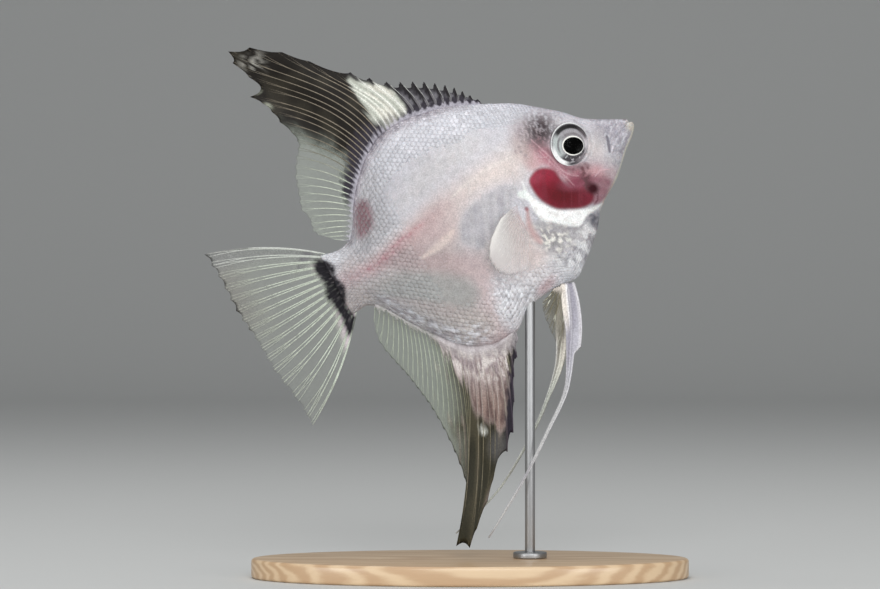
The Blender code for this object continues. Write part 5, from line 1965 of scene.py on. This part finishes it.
WOOD, STEEL = wood_finish(), steel_finish()
turned("stand_plate", (BASE_LENGTH / 2, BASE_DEPTH / 2), 0, BASE_HEIGHT, 0, 0.6, 160, WOOD, ["stand_base"],
       "stand_wood")
turned("stand_pin", (ROD_RADIUS, ROD_RADIUS), ROD_BOTTOM, ROD_TOP, ROD_FORWARD, 0.1, 48, STEEL, ["stand_rod"],
       "stand_steel")
turned("stand_flange", (FLANGE_RADIUS, FLANGE_RADIUS), BASE_HEIGHT, FLANGE_TOP, ROD_FORWARD, 0.25, 64, STEEL,
       [], "stand_steel")

# %% [markdown]
# The studio. A sheet of pale paper lies on the floor and sweeps up behind the stand, so that no
# horizon shows.

# %% Floor and backdrop
PAPER_FRONT, PAPER_BEND, PAPER_RADIUS = -1.2, 0.95, 0.45


def paper_place(share):
    """How far back and how high the paper is: flat at first, then up a quarter circle."""
    if share < 1:
        return PAPER_FRONT + share * (PAPER_BEND - PAPER_FRONT), 0.0
    angle = (share - 1) * math.pi / 2
    return PAPER_BEND + PAPER_RADIUS * math.sin(angle), PAPER_RADIUS * (1 - math.cos(angle))


def make_paper():
    paper = plain_finish("pale_paper", (0.6, 0.61, 0.6), 0.9)
    bm = bmesh.new()
    bmesh.ops.create_grid(bm, x_segments=1, y_segments=24, size=1.0)
    for vert in bm.verts:
        vert.co = (vert.co.x * 2, *paper_place(vert.co.y + 1))
    top = [edge for edge in bm.edges if all(vert.co.z > PAPER_RADIUS - 0.001 for vert in edge.verts)]
    wall = bmesh.ops.extrude_edge_only(bm, edges=top)["geom"]
    raised = [item for item in wall if isinstance(item, bmesh.types.BMVert)]
    bmesh.ops.translate(bm, verts=raised, vec=(0, 0, 1))
    mesh = mesh_from("paper", bm)
    mesh.shade_smooth()
    mesh.materials.append(paper)
    add_object("paper", mesh)


make_paper()

# %% [markdown]
# Light. One large soft box stands above the camera and models the flank. Two small ones stand
# low at the sides, where they lift the belly and the fins but send no glare off the flank into
# the camera. One overhead draws the back, and the room itself adds a faint cool glow.

# %% Lights
def soft_box(name, place, size, power, target=(0, 0, 0.05)):
    light = bpy.data.lights.new(name, "AREA")
    light.shape = "RECTANGLE"
    light.size, light.size_y = size
    light.energy = power
    lamp = add_object(name, light)
    lamp.location = place
    lamp.rotation_euler = (Vector(target) - Vector(place)).to_track_quat("-Z", "Y").to_euler()


soft_box("key", (0.02, -0.72, 0.36), (0.45, 0.45), 3.3)
soft_box("low_left", (-0.55, -0.6, 0.1), (0.3, 0.16), 1.5)
soft_box("low_right", (0.5, -0.65, 0.1), (0.3, 0.16), 1.5)
soft_box("overhead", (-0.05, 0.05, 0.6), (0.4, 0.4), 1.4)

room = bpy.data.worlds.new("room")
room.use_nodes = True
glow = room.node_tree.nodes["Background"]
glow.inputs["Color"].default_value = (0.97, 0.98, 1, 1)
glow.inputs["Strength"].default_value = 0.28
bpy.context.scene.world = room
bpy.context.scene.view_settings.view_transform = "Standard"

# %% [markdown]
# The camera looks straight at the fish's right side from a little over half a metre, a touch
# above the middle of the stand. Its lens is worked out from the width that must fit the frame.

# %% Camera
DISTANCE, FRAME_WIDTH = 0.57, 0.1569
AHEAD, HEIGHT = -0.00535, 0.05048


def make_camera():
    data = bpy.data.cameras.new("camera")
    data.sensor_width = 36
    data.lens = data.sensor_width * DISTANCE / FRAME_WIDTH
    data.clip_start = 0.01
    camera = add_object("camera", data)
    camera.location = (AHEAD, -DISTANCE, HEIGHT)
    camera.rotation_euler = (math.pi / 2, 0, 0)
    bpy.context.scene.camera = camera


make_camera()
